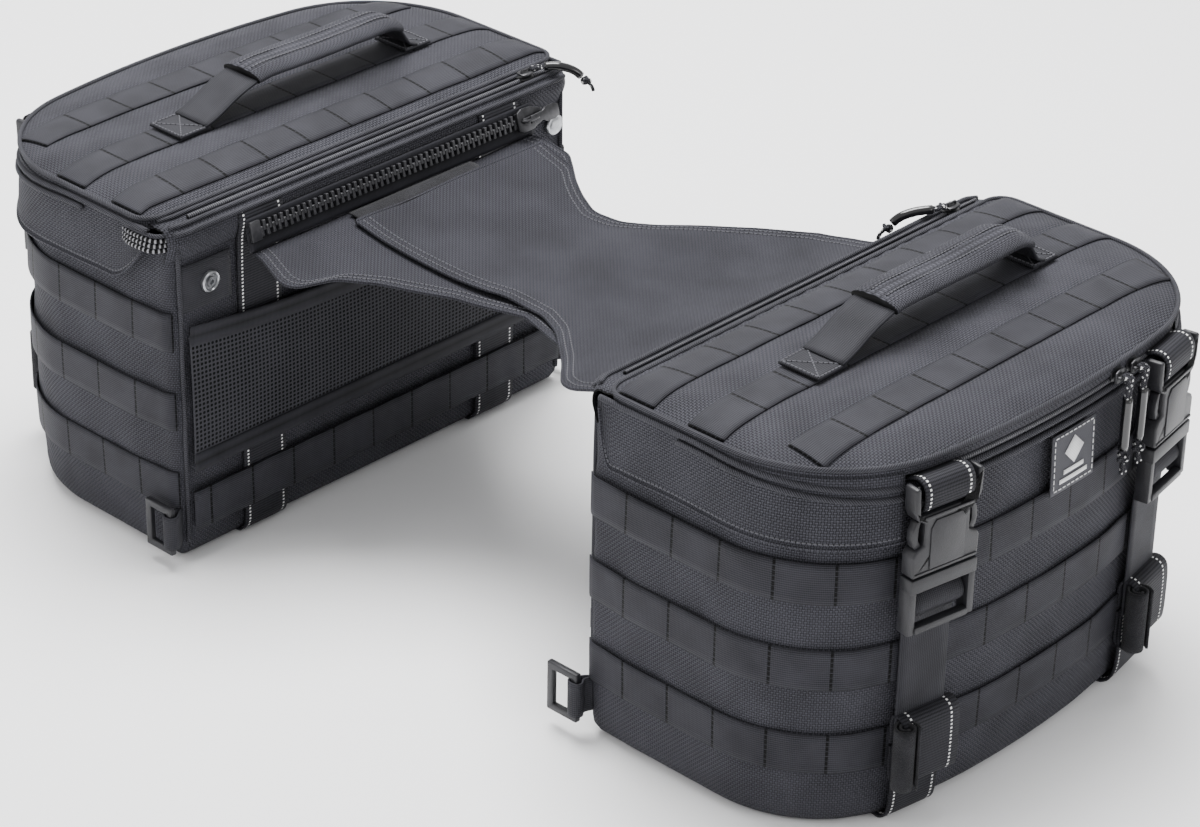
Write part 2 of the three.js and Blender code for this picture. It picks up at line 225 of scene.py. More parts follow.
def ballistic_nylon(name, low, high, pitch=1.5):
    """Ballistic nylon, a basket weave of thick yarns: matt, with a fine cross-hatch of painted shade in the grooves and
    painted light on the crowns.
    The yarns are about 1 mm in truth and drawn at 1.5 mm, so that they show."""
    material, tree, shader = new_finish(name, 0.72, sheen=0.02)
    height, over = basket_weave(tree, pitch)
    # The over cells stand a little higher and the colour follows this height: near-black grooves are painted shade,
    # pale crowns and lighter over cells painted light.
    lifted = add_node(tree, MATH, {"operation": "MULTIPLY_ADD"}, i0=over, i1=0.22, i2=height)
    tone = shade(tree, add_node(tree, MATH, {"operation": "MULTIPLY"}, i0=lifted, i1=0.8), low, high)
    tree.links.new(colour_of(tone), shader.inputs["Base Color"])
    raise_surface(tree, shader, lifted, 0.6)
    return material


def nylon_webbing(name, low, high, lengthwise=1.5, crosswise=1.1, stitched=False, tracers=0.0):
    """Woven nylon webbing: ribs along its length over a fine cross weave, with a soft sheen. Stitched webbing has
    a row of dark stitches across it at each step; tracers are two dotted lines of reflective yarn that far apart."""
    material, tree, shader = new_finish(name, 0.62, sheen=0.02)
    along, across = flat_mm(tree)
    length_ribs, cross_ribs = rib(tree, across, lengthwise), rib(tree, along, crosswise)
    weight = 0.35 if not tracers else 0.7
    height = add_node(tree, MIX, Factor=weight, A=length_ribs, B=cross_ribs)
    # The colour follows the rib height: the dark grooves are painted shade and the pale crowns painted light.
    tone = shade(tree, height, low, high, patches=0.3, size=25.0)
    if stitched:
        in_cell = cells(tree, along, STITCH_STEP)
        far = add_node(tree, MATH, {"operation": "ABSOLUTE"}, i0=in_cell)
        line = near_line(tree, far, STITCH_STEP / 2, 1.5)
        thread = add_node(tree, MATH, {"operation": "GREATER_THAN"}, i0=wave(tree, across, 3.6), i1=-0.9)
        stitch = add_node(tree, MATH, {"operation": "MULTIPLY"}, i0=line, i1=thread)
        tone = mixed_colour(tree, stitch, colour_of(tone), linear("#040405"))
        height = add_node(tree, MATH, {"operation": "SUBTRACT"}, i0=height, i1=line)
    if tracers:
        gap = add_node(tree, MATH, {"operation": "ABSOLUTE"}, i0=across)
        line = near_line(tree, gap, tracers / 2, 1.3, 0.2)
        dot = add_node(tree, MATH, {"operation": "GREATER_THAN"}, i0=wave(tree, along, 2.7), i1=0.05)
        dots = add_node(tree, MATH, {"operation": "MULTIPLY"}, i0=line, i1=dot)
        tone = mixed_colour(tree, dots, colour_of(tone), linear("#dcdcdc"))
    tree.links.new(colour_of(tone), shader.inputs["Base Color"])
    raise_surface(tree, shader, height, 0.28)
    return material


def piping_twill(name, low, high):
    """Bias-cut piping: the weave runs round the cord as chevrons."""
    material, tree, shader = new_finish(name, 0.7, sheen=0.02)
    along, across = flat_mm(tree)
    folded = add_node(tree, MATH, {"operation": "ABSOLUTE"}, i0=across)
    slanted = add_node(tree, MATH, {"operation": "MULTIPLY_ADD"}, i0=folded, i1=0.9, i2=along)
    height = rib(tree, slanted, 1.7)
    # The colour follows the chevron ribs: dark grooves are painted shade, pale crowns painted light.
    tone = shade(tree, height, low, high)
    tree.links.new(colour_of(tone), shader.inputs["Base Color"])
    raise_surface(tree, shader, height, 0.4)
    return material


def knitted_mesh(name):
    """Open polyester mesh over a dark cloth: pale threads round small dark holes 3.4 mm apart. The holes' near-black is
    the dark cloth behind, with painted shade on it.
    """
    material, tree, shader = new_finish(name, 0.7)
    along, across = flat_mm(tree)
    first, second = rib(tree, along, 3.4), rib(tree, across, 3.4)
    hole = add_node(tree, MATH, {"operation": "MULTIPLY"}, i0=first, i1=second)
    thread = add_node(tree, "ShaderNodeMapRange", {"clamp": True}, Value=hole, From_Min=0.62, From_Max=0.42,
                      To_Min=0.0, To_Max=1.0)
    # Near-black in the holes: the dark cloth behind, with painted shade on it.
    tone = shade(tree, add_node(tree, MATH, {"operation": "MULTIPLY"}, i0=thread, i1=0.85), "#020203", "#3c3c41", 0.15)
    tree.links.new(colour_of(tone), shader.inputs["Base Color"])
    raise_surface(tree, shader, thread, 0.7)
    return material


def acetal(name, colour="#2a2a2e"):
    """Moulded acetal: a fine spark-eroded grain with a low, even gloss."""
    material, tree, shader = new_finish(name, 0.42, ior=1.48, specular=0.4)
    place = add_node(tree, "ShaderNodeTexCoord").outputs["Object"]
    grain = add_node(tree, "ShaderNodeTexNoise", Vector=place, Scale=1300.0, Detail=2.0)
    tone = shade(tree, grain, "#131316", colour, 0.5, 15.0)
    tree.links.new(colour_of(tone), shader.inputs["Base Color"])
    raise_surface(tree, shader, grain, 0.12)
    return material


def enamelled_zinc(name, low, high, roughness=0.32, metallic=0.55):
    """Cast zinc under dark enamel, rubbed a little paler in patches."""
    material, tree, shader = new_finish(name, roughness, metallic=metallic, specular=0.5)
    place = add_node(tree, "ShaderNodeTexCoord").outputs["Object"]
    cloud = add_node(tree, "ShaderNodeTexNoise", Vector=place, Scale=260.0, Detail=4.0)
    tone = shade(tree, cloud, low, high, 0.4, 12.0)
    tree.links.new(colour_of(tone), shader.inputs["Base Color"])
    raise_surface(tree, shader, cloud, 0.06)
    return material


def nylon_coil(name):
    """Nylon coil zip: a painted highlight on each turn of the coil, 1.7 mm apart, with painted shade between the turns.
    """
    material, tree, shader = new_finish(name, 0.35, ior=1.53, specular=0.3)
    along, across = flat_mm(tree)
    height = rib(tree, along, 1.7)
    # Pale crowns are a painted highlight, and dark gaps between turns painted shade.
    tone = shade(tree, height, "#060607", "#5a5a60", 0.2)
    tree.links.new(colour_of(tone), shader.inputs["Base Color"])
    raise_surface(tree, shader, height, 0.8)
    return material


def braided_cord(name):
    """Braided cord with flecks of reflective yarn in a spiral."""
    material, tree, shader = new_finish(name, 0.55)
    along, across = flat_mm(tree)
    slant = add_node(tree, MATH, {"operation": "ADD"}, i0=along, i1=across)
    other = add_node(tree, MATH, {"operation": "SUBTRACT"}, i0=along, i1=across)
    height = add_node(tree, MATH, {"operation": "MULTIPLY"}, i0=rib(tree, slant, 1.6), i1=rib(tree, other, 1.6))
    # The colour follows the braid's height: dark grooves are painted shade, pale crowns painted light.
    tone = shade(tree, height, "#0c0c0e", "#4c4c52", 0.2)
    fleck = add_node(tree, MATH, {"operation": "GREATER_THAN"}, i0=wave(tree, slant, 7.0), i1=0.72)
    spot = add_node(tree, MATH, {"operation": "GREATER_THAN"}, i0=wave(tree, other, 5.0), i1=0.2)
    both = add_node(tree, MATH, {"operation": "MULTIPLY"}, i0=fleck, i1=spot)
    tone = mixed_colour(tree, both, colour_of(tone), linear("#e0e0e0"))
    tree.links.new(colour_of(tone), shader.inputs["Base Color"])
    raise_surface(tree, shader, height, 0.5)
    return material


def looped_pile(name):
    """Hook-and-loop tape: a dense dark pile with no gloss."""
    material, tree, shader = new_finish(name, 0.95, sheen=0.08)
    place = add_node(tree, "ShaderNodeTexCoord").outputs["Object"]
    tufts = add_node(tree, "ShaderNodeTexNoise", Vector=place, Scale=900.0, Detail=5.0, Roughness=0.8)
    tone = shade(tree, tufts, "#09090a", "#36363a", 0.3, 10.0)
    tree.links.new(colour_of(tone), shader.inputs["Base Color"])
    raise_surface(tree, shader, tufts, 1.2)
    return material


def plain_polymer(name, low, high, roughness, coat=0.0, grain=0.03):
    """A smooth extruded or calendered polymer, with faint flow marks."""
    material, tree, shader = new_finish(name, roughness, coat=coat, specular=0.4)
    place = add_node(tree, "ShaderNodeTexCoord").outputs["Object"]
    marks = add_node(tree, "ShaderNodeTexNoise", Vector=place, Scale=420.0, Detail=3.0)
    tone = shade(tree, marks, low, high, 0.3, 14.0)
    tree.links.new(colour_of(tone), shader.inputs["Base Color"])
    raise_surface(tree, shader, marks, grain)
    return material


def stitched_thread(name, low, high, step=3.2, start=0.2):
    """A row of stitches: rounded thread between small dark holes, wider apart as start nears 1."""
    material, tree, shader = new_finish(name, 0.6)
    along, across = flat_mm(tree)
    height = rib(tree, along, step)
    raised = add_node(tree, "ShaderNodeMapRange", {"clamp": True}, Value=height, From_Min=start, From_Max=start + 0.2,
                      To_Min=0.0, To_Max=1.0)
    tone = shade(tree, raised, low, high, 0.1)
    tree.links.new(colour_of(tone), shader.inputs["Base Color"])
    raise_surface(tree, shader, height, 0.5)
    return material


# The low colours of the woven cloth, webbing, piping, label, coil and cord are painted shade in their grooves, and
# their high colours painted light on the crowns.
NYLON = ballistic_nylon("woven_ballistic_nylon", "#020203", "#47474e", 1.7)
YOKE_CLOTH = ballistic_nylon("woven_pack_cloth", "#030304", "#3f3f46", 1.6)
BELT = nylon_webbing("woven_nylon_belt", "#09090b", "#38383e", stitched=True)
WEBBING = nylon_webbing("woven_nylon_webbing", "#0b0b0d", "#36363b")
TRACER = nylon_webbing("woven_tracer_webbing", "#08080a", "#2f2f34", lengthwise=1.2, crosswise=2.0, tracers=31)
PIPING = piping_twill("bias_cut_piping", "#060607", "#45454b")
MESH = knitted_mesh("knitted_polyester_mesh")
BINDING = nylon_webbing("woven_grosgrain_binding", "#0c0c0e", "#29292e", lengthwise=9.0, crosswise=1.1)
ACETAL = acetal("moulded_acetal")
COIL = nylon_coil("nylon_coil_teeth")
GUNMETAL = enamelled_zinc("enamelled_cast_zinc", "#151517", "#4a4a4d")
NICKEL = enamelled_zinc("plated_nickel", "#6c6e71", "#b4b5b8", 0.3, 1.0)
CORD = braided_cord("braided_reflective_cord")
SLEEVE = plain_polymer("heat_shrunk_tube", "#0b0b0c", "#17171a", 0.12, coat=0.6)
PILE = looped_pile("hook_and_loop_pile")
BOARD = plain_polymer("extruded_stiffener_board", "#121214", "#1e1e20", 0.6)
DOTTED = stitched_thread("dotted_binding_tape", "#060607", "#8a8a8e", 3.4, 0.72)
THREAD = stitched_thread("bonded_nylon_thread", "#0a0a0b", "#55555a")
TOOTH = plain_polymer("moulded_zip_tooth", "#1a1a1c", "#3c3c40", 0.38, grain=0.08)
LABEL = nylon_webbing("woven_damask_label", "#38383c", "#515156", lengthwise=0.9, crosswise=0.9)
LABEL_YARN = nylon_webbing("embroidered_pale_yarn", "#b9b9bc", "#efeff0", lengthwise=0.8, crosswise=1.2)


# ---- the studio ----

def make_floor():
    floor = bmesh.new()
    bmesh.ops.create_grid(floor, x_segments=1, y_segments=1, size=12)
    mesh = bpy.data.meshes.new("floor")
    floor.to_mesh(mesh)
    material, tree, shader = new_finish("pale_paper", 0.9)
    shader.inputs["Base Color"].default_value = linear("#fbfbfc")
    mesh.materials.append(material)
    ground = bpy.data.objects.new("floor", mesh)
    bpy.context.scene.collection.objects.link(ground)
    world = bpy.data.worlds.new("studio")
    world.use_nodes = True
    world.node_tree.nodes["Background"].inputs["Color"].default_value = linear("#ffffff")
    world.node_tree.nodes["Background"].inputs["Strength"].default_value = 0.9
    bpy.context.scene.world = world


make_floor()


# ---- making cloth, tubes and solids ----

def cloth(columns, rows, length, width, shape, weld=False):
    """A sheet of quads. shape(along, across) gives its place in mm; the flat coordinates are kept in mm, with across
    measured from the middle."""
    bm = bmesh.new()
    bmesh.ops.create_grid(bm, x_segments=columns, y_segments=rows, size=0.5)
    layer = bm.loops.layers.uv.new("flat")
    for face in bm.faces:
        for loop in face.loops:
            x, y, _ = loop.vert.co
            loop[layer].uv = ((x + 0.5) * length, y * width)
    for vert in bm.verts:
        x, y, _ = vert.co
        vert.co = shape((x + 0.5) * length, (y + 0.5) * width)
    if weld:
        bmesh.ops.remove_doubles(bm, verts=bm.verts, dist=0.02)
    return bm


class Route:
    """A smooth line through points in mm, with a frame that doesn't twist along it."""

    def __init__(self, points, closed=False, smooth=True):
        knots = [Vector(p) for p in points]
        if closed:
            knots = [knots[-1], *knots, knots[0], knots[1]]
        else:
            knots = [2 * knots[0] - knots[1], *knots, 2 * knots[-1] - knots[-2]]
        line = []
        for a, b, c, d in zip(knots, knots[1:], knots[2:], knots[3:]):
            count = max(2, int((c - b).length / 1.5)) if smooth else 1
            for i in range(count):
                t = i / count
                line.append(0.5 * (2 * b + (c - a) * t + (2 * a - 5 * b + 4 * c - d) * t * t
                                   + (3 * b - a - 3 * c + d) * t ** 3))
        line.append(knots[-2])
        self.points = np.array(line)
        steps = np.linalg.norm(np.diff(self.points, axis=0), axis=1)
        self.marks = np.concatenate([[0], np.cumsum(steps)])
        self.length = float(self.marks[-1])
        tangents = np.gradient(self.points, axis=0)
        tangents /= np.linalg.norm(tangents, axis=1)[:, None]
        side = Vector(tangents[0]).orthogonal().normalized()
        sides = []
        for tangent in tangents:
            side = (side - Vector(tangent) * side.dot(Vector(tangent))).normalized()
            sides.append(side)
        self.tangents, self.sides = tangents, np.array(sides)

    def at(self, s):
        pick = [np.interp(s, self.marks, column) for table in (self.points, self.tangents, self.sides)
                for column in table.T]
        return Vector(pick[0:3]), Vector(pick[3:6]), Vector(pick[6:9])


def tube(route, radius, sides=10, step=3.0, closed=False, flatten=1.0):
    """A round cord along a route; radius is a number or gives one from the place along it."""
    size = radius if callable(radius) else lambda s: radius

    def shape(s, turn):
        place, tangent, side = route.at(s)
        angle = turn * 2 * math.pi
        other = tangent.cross(side)
        return place + size(s) * (side * math.cos(angle) + other * (math.sin(angle) * flatten))

    bm = cloth(max(2, round(route.length / step)), sides, route.length, 1.0, shape, weld=True)
    layer = bm.loops.layers.uv["flat"]
    girth = 2 * math.pi * size(route.length / 2)
    for face in bm.faces:
        for loop in face.loops:
            loop[layer].uv.y *= girth
    if not closed:
        edges = [e for e in bm.edges if e.is_boundary]
        bmesh.ops.holes_fill(bm, edges=edges)
    bmesh.ops.recalc_face_normals(bm, faces=bm.faces)
    return bm


def ribbon(points, sideways, width, step=4.0, rows=6, smooth=True):
    """A strap: the middle line of its face, and the direction across it."""
    route = Route(points, smooth=smooth)
    across = Vector(sideways).normalized()
    return cloth(max(2, round(route.length / step)), rows, route.length, width,
                 lambda s, t: route.at(s)[0] + across * (t - width / 2))


def plate(points, low, high, bevel=0.6, segments=2):
    """A flat shape (x, y) raised from low to high, with rounded edges."""
    bm = bmesh.new()
    face = bm.faces.new([bm.verts.new((x, y, low)) for x, y in points])
    made = bmesh.ops.extrude_face_region(bm, geom=[face])
    lifted = [g for g in made["geom"] if isinstance(g, bmesh.types.BMVert)]
    bmesh.ops.translate(bm, verts=lifted, vec=(0, 0, high - low))
    bmesh.ops.recalc_face_normals(bm, faces=bm.faces)
    if bevel:
        bmesh.ops.bevel(bm, geom=bm.edges[:], offset=bevel, segments=segments, profile=0.5, affect="EDGES",
                        material=-1, clamp_overlap=True)
    return bm


def turned(profile, steps=24):
    """A profile of (radius, height) spun round the z axis, closed at the middle."""
    bm = bmesh.new()
    verts = [bm.verts.new((r, 0, z)) for r, z in profile]
    edges = [bm.edges.new(pair) for pair in zip(verts, verts[1:])]
    bmesh.ops.spin(bm, geom=verts + edges, axis=(0, 0, 1), cent=(0, 0, 0), steps=steps, angle=2 * math.pi,
                   use_merge=True)
    bmesh.ops.remove_doubles(bm, verts=bm.verts, dist=1e-3)
    bmesh.ops.recalc_face_normals(bm, faces=bm.faces)
    return bm


def joined(*parts):
    """Several meshes as one; the first is kept."""
    whole = parts[0]
    for part in parts[1:]:
        mesh = bpy.data.meshes.new("part")
        part.to_mesh(mesh)
        part.free()
        whole.from_mesh(mesh)
        bpy.data.meshes.remove(mesh)
    return whole


def moved(bm, matrix):
    bmesh.ops.transform(bm, matrix=matrix, verts=bm.verts)
    return bm


def finished(bm, name, material, body=None, side=0, hides=(), thickness=0.0, outwards=-1, levels=0, sharp=None,
             slot=None):
    """Places the mesh in the row frame, in metres, gives it its finish and its body, and hides the nodes it stands for.
    """
    for vert in bm.verts:
        u, v, z = vert.co
        place = Vector((side * (GAP / 2 + u), side * STAGGER / 2 + v, z)) if side else vert.co
        vert.co = place * MM
    if side < 0:
        bmesh.ops.reverse_faces(bm, faces=bm.faces)
    for face in bm.faces:
        face.smooth = True
    mesh = bpy.data.meshes.new(name)
    bm.to_mesh(mesh)
    bm.free()
    mesh.materials.append(material)
    if sharp:
        mesh.set_sharp_from_angle(angle=math.radians(sharp))
    obj = bpy.data.objects.new(name, mesh)
    bpy.context.scene.collection.objects.link(obj)
    if thickness:
        wall = obj.modifiers.new("thickness", "SOLIDIFY")
        wall.thickness = thickness * MM
        wall.offset = outwards
    if levels:
        smooth = obj.modifiers.new("smooth", "SUBSURF")
        smooth.levels = smooth.render_levels = levels
    if body:
        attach(obj, body)
    if hides:
        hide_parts(*hides)
    return obj


def moulded(node, name, material, body, bevel=0.5, slot=None):
    """A hard piece that keeps its node's shape, with its edges rounded."""
    bm = bmesh.new()
    bm.from_mesh(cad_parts[node].data)
    bmesh.ops.remove_doubles(bm, verts=bm.verts, dist=1e-6)
    bmesh.ops.dissolve_limit(bm, angle_limit=math.radians(1), verts=bm.verts, edges=bm.edges)
    crisp = [e for e in bm.edges if len(e.link_faces) == 2 and e.calc_face_angle() > math.radians(28)]
    bmesh.ops.bevel(bm, geom=crisp, offset=bevel * MM, segments=2, profile=0.5, affect="EDGES", material=-1,
                    clamp_overlap=True)
    bmesh.ops.scale(bm, vec=(1000, 1000, 1000), verts=bm.verts)
    return finished(bm, name, material, body, hides=[node], sharp=32, slot=slot)


def ripple(a, b, seed, size):
    """Smooth noise from -1 to 1 over the cloth, size in mm."""
    return noise.noise(Vector((a / size, b / size, seed)))


# ---- a bag's outline in plan ----

class Outline:
    """The bag's plan, anticlockwise from the inner near corner, measured along it in mm."""

    def __init__(self, edge=0.0):
        stretches = [
            ("inner_near", self.arc((edge + INNER_R, -HALF + INNER_R), INNER_R, math.pi, 1.5 * math.pi)),
            ("near_end", self.straight((edge + INNER_R, -HALF), (CORNER_U, -HALF), (0, -1))),
            ("near_corner", self.arc((CORNER_U, -CORNER_V), CORNER_R, -math.pi / 2, -OUTER_HALF)),
            ("outer", self.arc((OUTER_CENTRE_U, 0), OUTER_R, -OUTER_HALF, OUTER_HALF)),
            ("far_corner", self.arc((CORNER_U, CORNER_V), CORNER_R, OUTER_HALF, math.pi / 2)),
            ("far_end", self.straight((CORNER_U, HALF), (edge + INNER_R, HALF), (0, 1))),
            ("inner_far", self.arc((edge + INNER_R, HALF - INNER_R), INNER_R, math.pi / 2, math.pi)),
            ("inner_face", self.straight((edge, HALF - INNER_R), (edge, -HALF + INNER_R), (-1, 0))),
        ]
        self.starts, points, normals, marks, total = {}, [], [], [], 0.0
        for name, (line, outward) in stretches:
            self.starts[name] = total
            steps = np.concatenate([[0], np.cumsum(np.linalg.norm(np.diff(line, axis=0), axis=1))])
            points.append(line)
            normals.append(outward)
            marks.append(total + steps)
            total += steps[-1]
        self.length = total
        self.points, self.normals = np.concatenate(points), np.concatenate(normals)
        self.marks = np.concatenate(marks)

    @staticmethod
    def arc(centre, radius, start, end):
        angles = np.linspace(start, end, max(8, int(radius * abs(end - start) / 1.2)))
        outward = np.stack([np.cos(angles), np.sin(angles)], axis=1)
        return np.array(centre) + radius * outward, outward

    @staticmethod
    def straight(start, end, outward):
        shares = np.linspace(0, 1, 60)[:, None]
        return np.array(start) * (1 - shares) + np.array(end) * shares, np.tile(outward, (60, 1)).astype(float)

    def at(self, s, out=0.0):
        s = s % self.length
        u, v, a, b = (np.interp(s, self.marks, c) for c in (*self.points.T, *self.normals.T))
        return u + a * out, v + b * out

    def at_corner(self, end, angle):
        """Where a corner arc stands at an angle from the outward direction; end is -1 near or +1 far."""
        if end < 0:
            return self.starts["near_corner"] + CORNER_R * (math.pi / 2 - angle)
        return self.starts["far_corner"] + CORNER_R * (angle - OUTER_HALF)

    def distance(self, u, v):
        """How far inside the outline a point is."""
        return float(np.min(np.hypot(self.points[:, 0] - u, self.points[:, 1] - v)))


BAG = Outline()
LID = Outline(LID_INNER)
FACE_Z = (3, 5, 8, 14, 30, 120, 200, 244)
FACE_IN = (10.5, 8.2, 6.6, 5.4, 4.6, 3.6, 3.5, 4)


def wall_in(z):
    """How far the wall stands inside the outline."""
    return float(np.interp(z, FACE_Z, FACE_IN))


STATIONS = (BAG.at_corner(-1, STRAP_ANGLE), BAG.at_corner(1, STRAP_ANGLE))


def swell(s, z):
    """How far the load pushes the wall out: not under a strap, and not on the inner face."""
    off = min(min(abs(s - place) for place in STATIONS) - 24, s - BAG.starts["near_end"],
              BAG.starts["inner_far"] - s)
    free = min(1.0, max(0.0, off / 34))
    return 2.6 * free * free * (3 - 2 * free) * math.sin(math.pi * min(1.0, max(0.0, (z + 22) / 250)))


def on_wall(s, z, lift=0.0):
    """A point on the wall's face, lift mm outside it."""
    u, v = BAG.at(s, lift - wall_in(z) + swell(s, z))
    return u, v, z


def station(end, n, w, z):
    """A point at a strap's station: n out from the outline, w across the strap."""
    a = end * STRAP_ANGLE
    u = CORNER_U + CORNER_R * math.cos(a)
    return u + n * math.cos(a) - w * math.sin(a), end * STRAP_V + n * math.sin(a) + w * math.cos(a), z


def station_matrix(end):
    """Takes (across, up, out) drawn as x, y, z to a strap's station."""
    a = end * STRAP_ANGLE
    out, across = Vector((math.cos(a), math.sin(a), 0)), Vector((-math.sin(a), math.cos(a), 0))
    turn = Matrix((across, (0, 0, 1), out)).transposed()
    return Matrix.Translation(station(end, 0, 0, 0)) @ turn.to_4x4()


def lid_height(u, v):
    """The padded top: it rises from its rim, and its sewn rows hold it down a little."""
    rim = LID.distance(u, v)
    crown = 8.2 * (1 - math.exp(-rim / 15))
    gap = min(abs(u - row) for row in LID_ROWS)
    puff = 1.5 * (1 - math.exp(-max(0.0, gap - 14) / 6)) * min(1.0, rim / 25)
    gather = 1.3 * ripple(u, v, 3.1, 34) + 0.7 * ripple(u * 1.8, v * 0.6, 8.7, 16)
    return 256.2 + crown + (puff + gather * min(1.0, max(0.0, gap - 12) / 8 + 0.15)) * min(1.0, rim / 14)


# ---- the bag's cloth ----

def shell_cloth(word, side):
    """The wall, with soft dents between its belts, and the bottom, as one skin."""
    def wall(s, t):
        z = 3 + t
        held = min(1.0, min(abs(z - row) for row in BELT_ROWS) / 22)
        dent = 1.7 * ripple(s, z, 1.7 + side, 58) + 0.9 * ripple(s, z * 0.7, 5.3, 21) - 1.4
        return on_wall(s, z, min(0.3, dent * (0.25 + 0.75 * held)) * min(1.0, (z - 3) / 20))

    def bottom(s, t):
        """The bottom runs from the middle of the bag out to the wall's foot."""
        u, v = BAG.at(s, -10.5 + swell(s, 3))
        share = t / 100
        rise = 0.5 * min(1.0, share * 12)
        return 100 + (u - 100) * (1 - share), v * (1 - share), 3 - rise

    parts = [cloth(190, 44, BAG.length, 241, wall, weld=True), cloth(190, 10, BAG.length, 100, bottom, weld=True)]
    bmesh.ops.reverse_faces(parts[1], faces=parts[1].faces)
    skin = joined(*parts)
    bmesh.ops.remove_doubles(skin, verts=skin.verts, dist=0.05)
    return finished(skin, f"{word}_shell_cloth", NYLON, f"{word}_bag", side, hides=[f"{word}_shell"],
                    thickness=1.6, slot="ballistic_nylon")


def shoulder(word, side):
    """The rolled cloth between the inner wall and the lid: the coil zip between two pipings, and on the left bag the
    stub of piping and dotted binding at the near end of the zip, where the storm flap stops short."""
    bag = f"{word}_bag"
    profile = Route([(4.2, 0, 230), (1.6, 0, 237), (-0.2, 0, 243), (0.4, 0, 249), (3.4, 0, 252.8), (7, 0, 254.0),
                     (11, 0, 253.6), (15, 0, 254.2), (19, 0, 254.6), (19.6, 0, 250)])
    span = 2 * HALF - 10

    def bend(v):
        end = max(0.0, abs(v) - (HALF - 20)) / 15
        return end * end

    def roll(s, t):
        place, _, _ = profile.at(t)
        v = s - span / 2
        return place.x + 6 * bend(v), v, place.z + 0.5 * ripple(s, t, 9.2 + side, 30) - 1.5 * bend(v)

    bm = cloth(90, 26, span, profile.length, roll)
    bmesh.ops.reverse_faces(bm, faces=bm.faces)
    finished(bm, f"{word}_inner_shoulder", NYLON, bag, side, thickness=1.2, slot="ballistic_nylon")
    for number, (u, z, radius) in enumerate(((0.6, 250.6, 1.8), (5.2, 254.4, 1.7), (17.2, 255.4, 1.7))):
        line = Route([(u + 6 * bend(v) + 0.3 * ripple(v, u, 4.4, 60), v, z - 1.5 * bend(v)
                       + 0.4 * ripple(v, u, 2.2, 80)) for v in np.linspace(-HALF + 9, HALF - 9, 44)])
        finished(tube(line, radius), f"{word}_inner_piping_{number}", PIPING, bag, side)
    coil = Route([(11.2, v, 254.9) for v in np.linspace(-165, 178, 60)])
    finished(tube(coil, 1.7, 8, 2.5, flatten=0.7), f"{word}_inner_zip_coil", COIL, bag, side,
             hides=[f"{word}_inner_zip"], slot="coil_zip")
    for number in range(4 if side < 0 else 0):
        z = 249.0 - 3.3 * number
        line = Route([(8, -HALF + 9 - number, z), (13, -HALF + 1.2 - number, z), (21, -HALF - 1.2 - number, z + 0.4),
                      (34, -HALF - 1.0 - number, z), (46, -HALF + 0.5, z)])
        finished(tube(line, 1.5), f"{word}_zip_end_binding_{number}", DOTTED if number else PIPING, bag, side)


def lid_cloth(word, side):
    """The padded lid, its rim and the piping along its edges."""
    body = f"{word}_lid_body"

    def dome(s, t):
        """The pad in rings that shrink from its rim to its middle."""
        u, v = LID.at(s)
        share = 1 - (t / 100) ** 1.25
        u, v = 116 + (u - 116) * share, v * share
        return u, v, lid_height(u, v)

    bm = cloth(240, 44, LID.length, 100, dome, weld=True)
    layer = bm.loops.layers.uv["flat"]
    for face in bm.faces:
        for loop in face.loops:
            loop[layer].uv = (loop.vert.co.y, loop.vert.co.x)
    pad = finished(bm, f"{word}_lid_pad", NYLON, body, side, hides=[f"{word}_lid"], thickness=5.5,
                   slot="ballistic_nylon")

    edge = Route([(0.0, 0, 256.8), (0.4, 0, 254), (0.1, 0, 251), (-1.0, 0, 248.9), (-3.4, 0, 249.2)])

    def rim(s, t):
        place, _, _ = edge.at(edge.length - t)
        u, v = LID.at(s, place.x + 0.3 * ripple(s, t, 6.1 + side, 40))
        return u, v, place.z

    finished(cloth(190, 9, LID.length, edge.length, rim, weld=True), f"{word}_lid_rim", NYLON, body, side,
             thickness=1.0, slot="ballistic_nylon")
    hem = Route([(*LID.at(s, 0.2), 257.2) for s in np.arange(0, LID.length - 2, 5)], closed=True)
    finished(tube(hem, 1.7, 8, 4, closed=True), f"{word}_lid_edge_piping", PIPING, body, side)


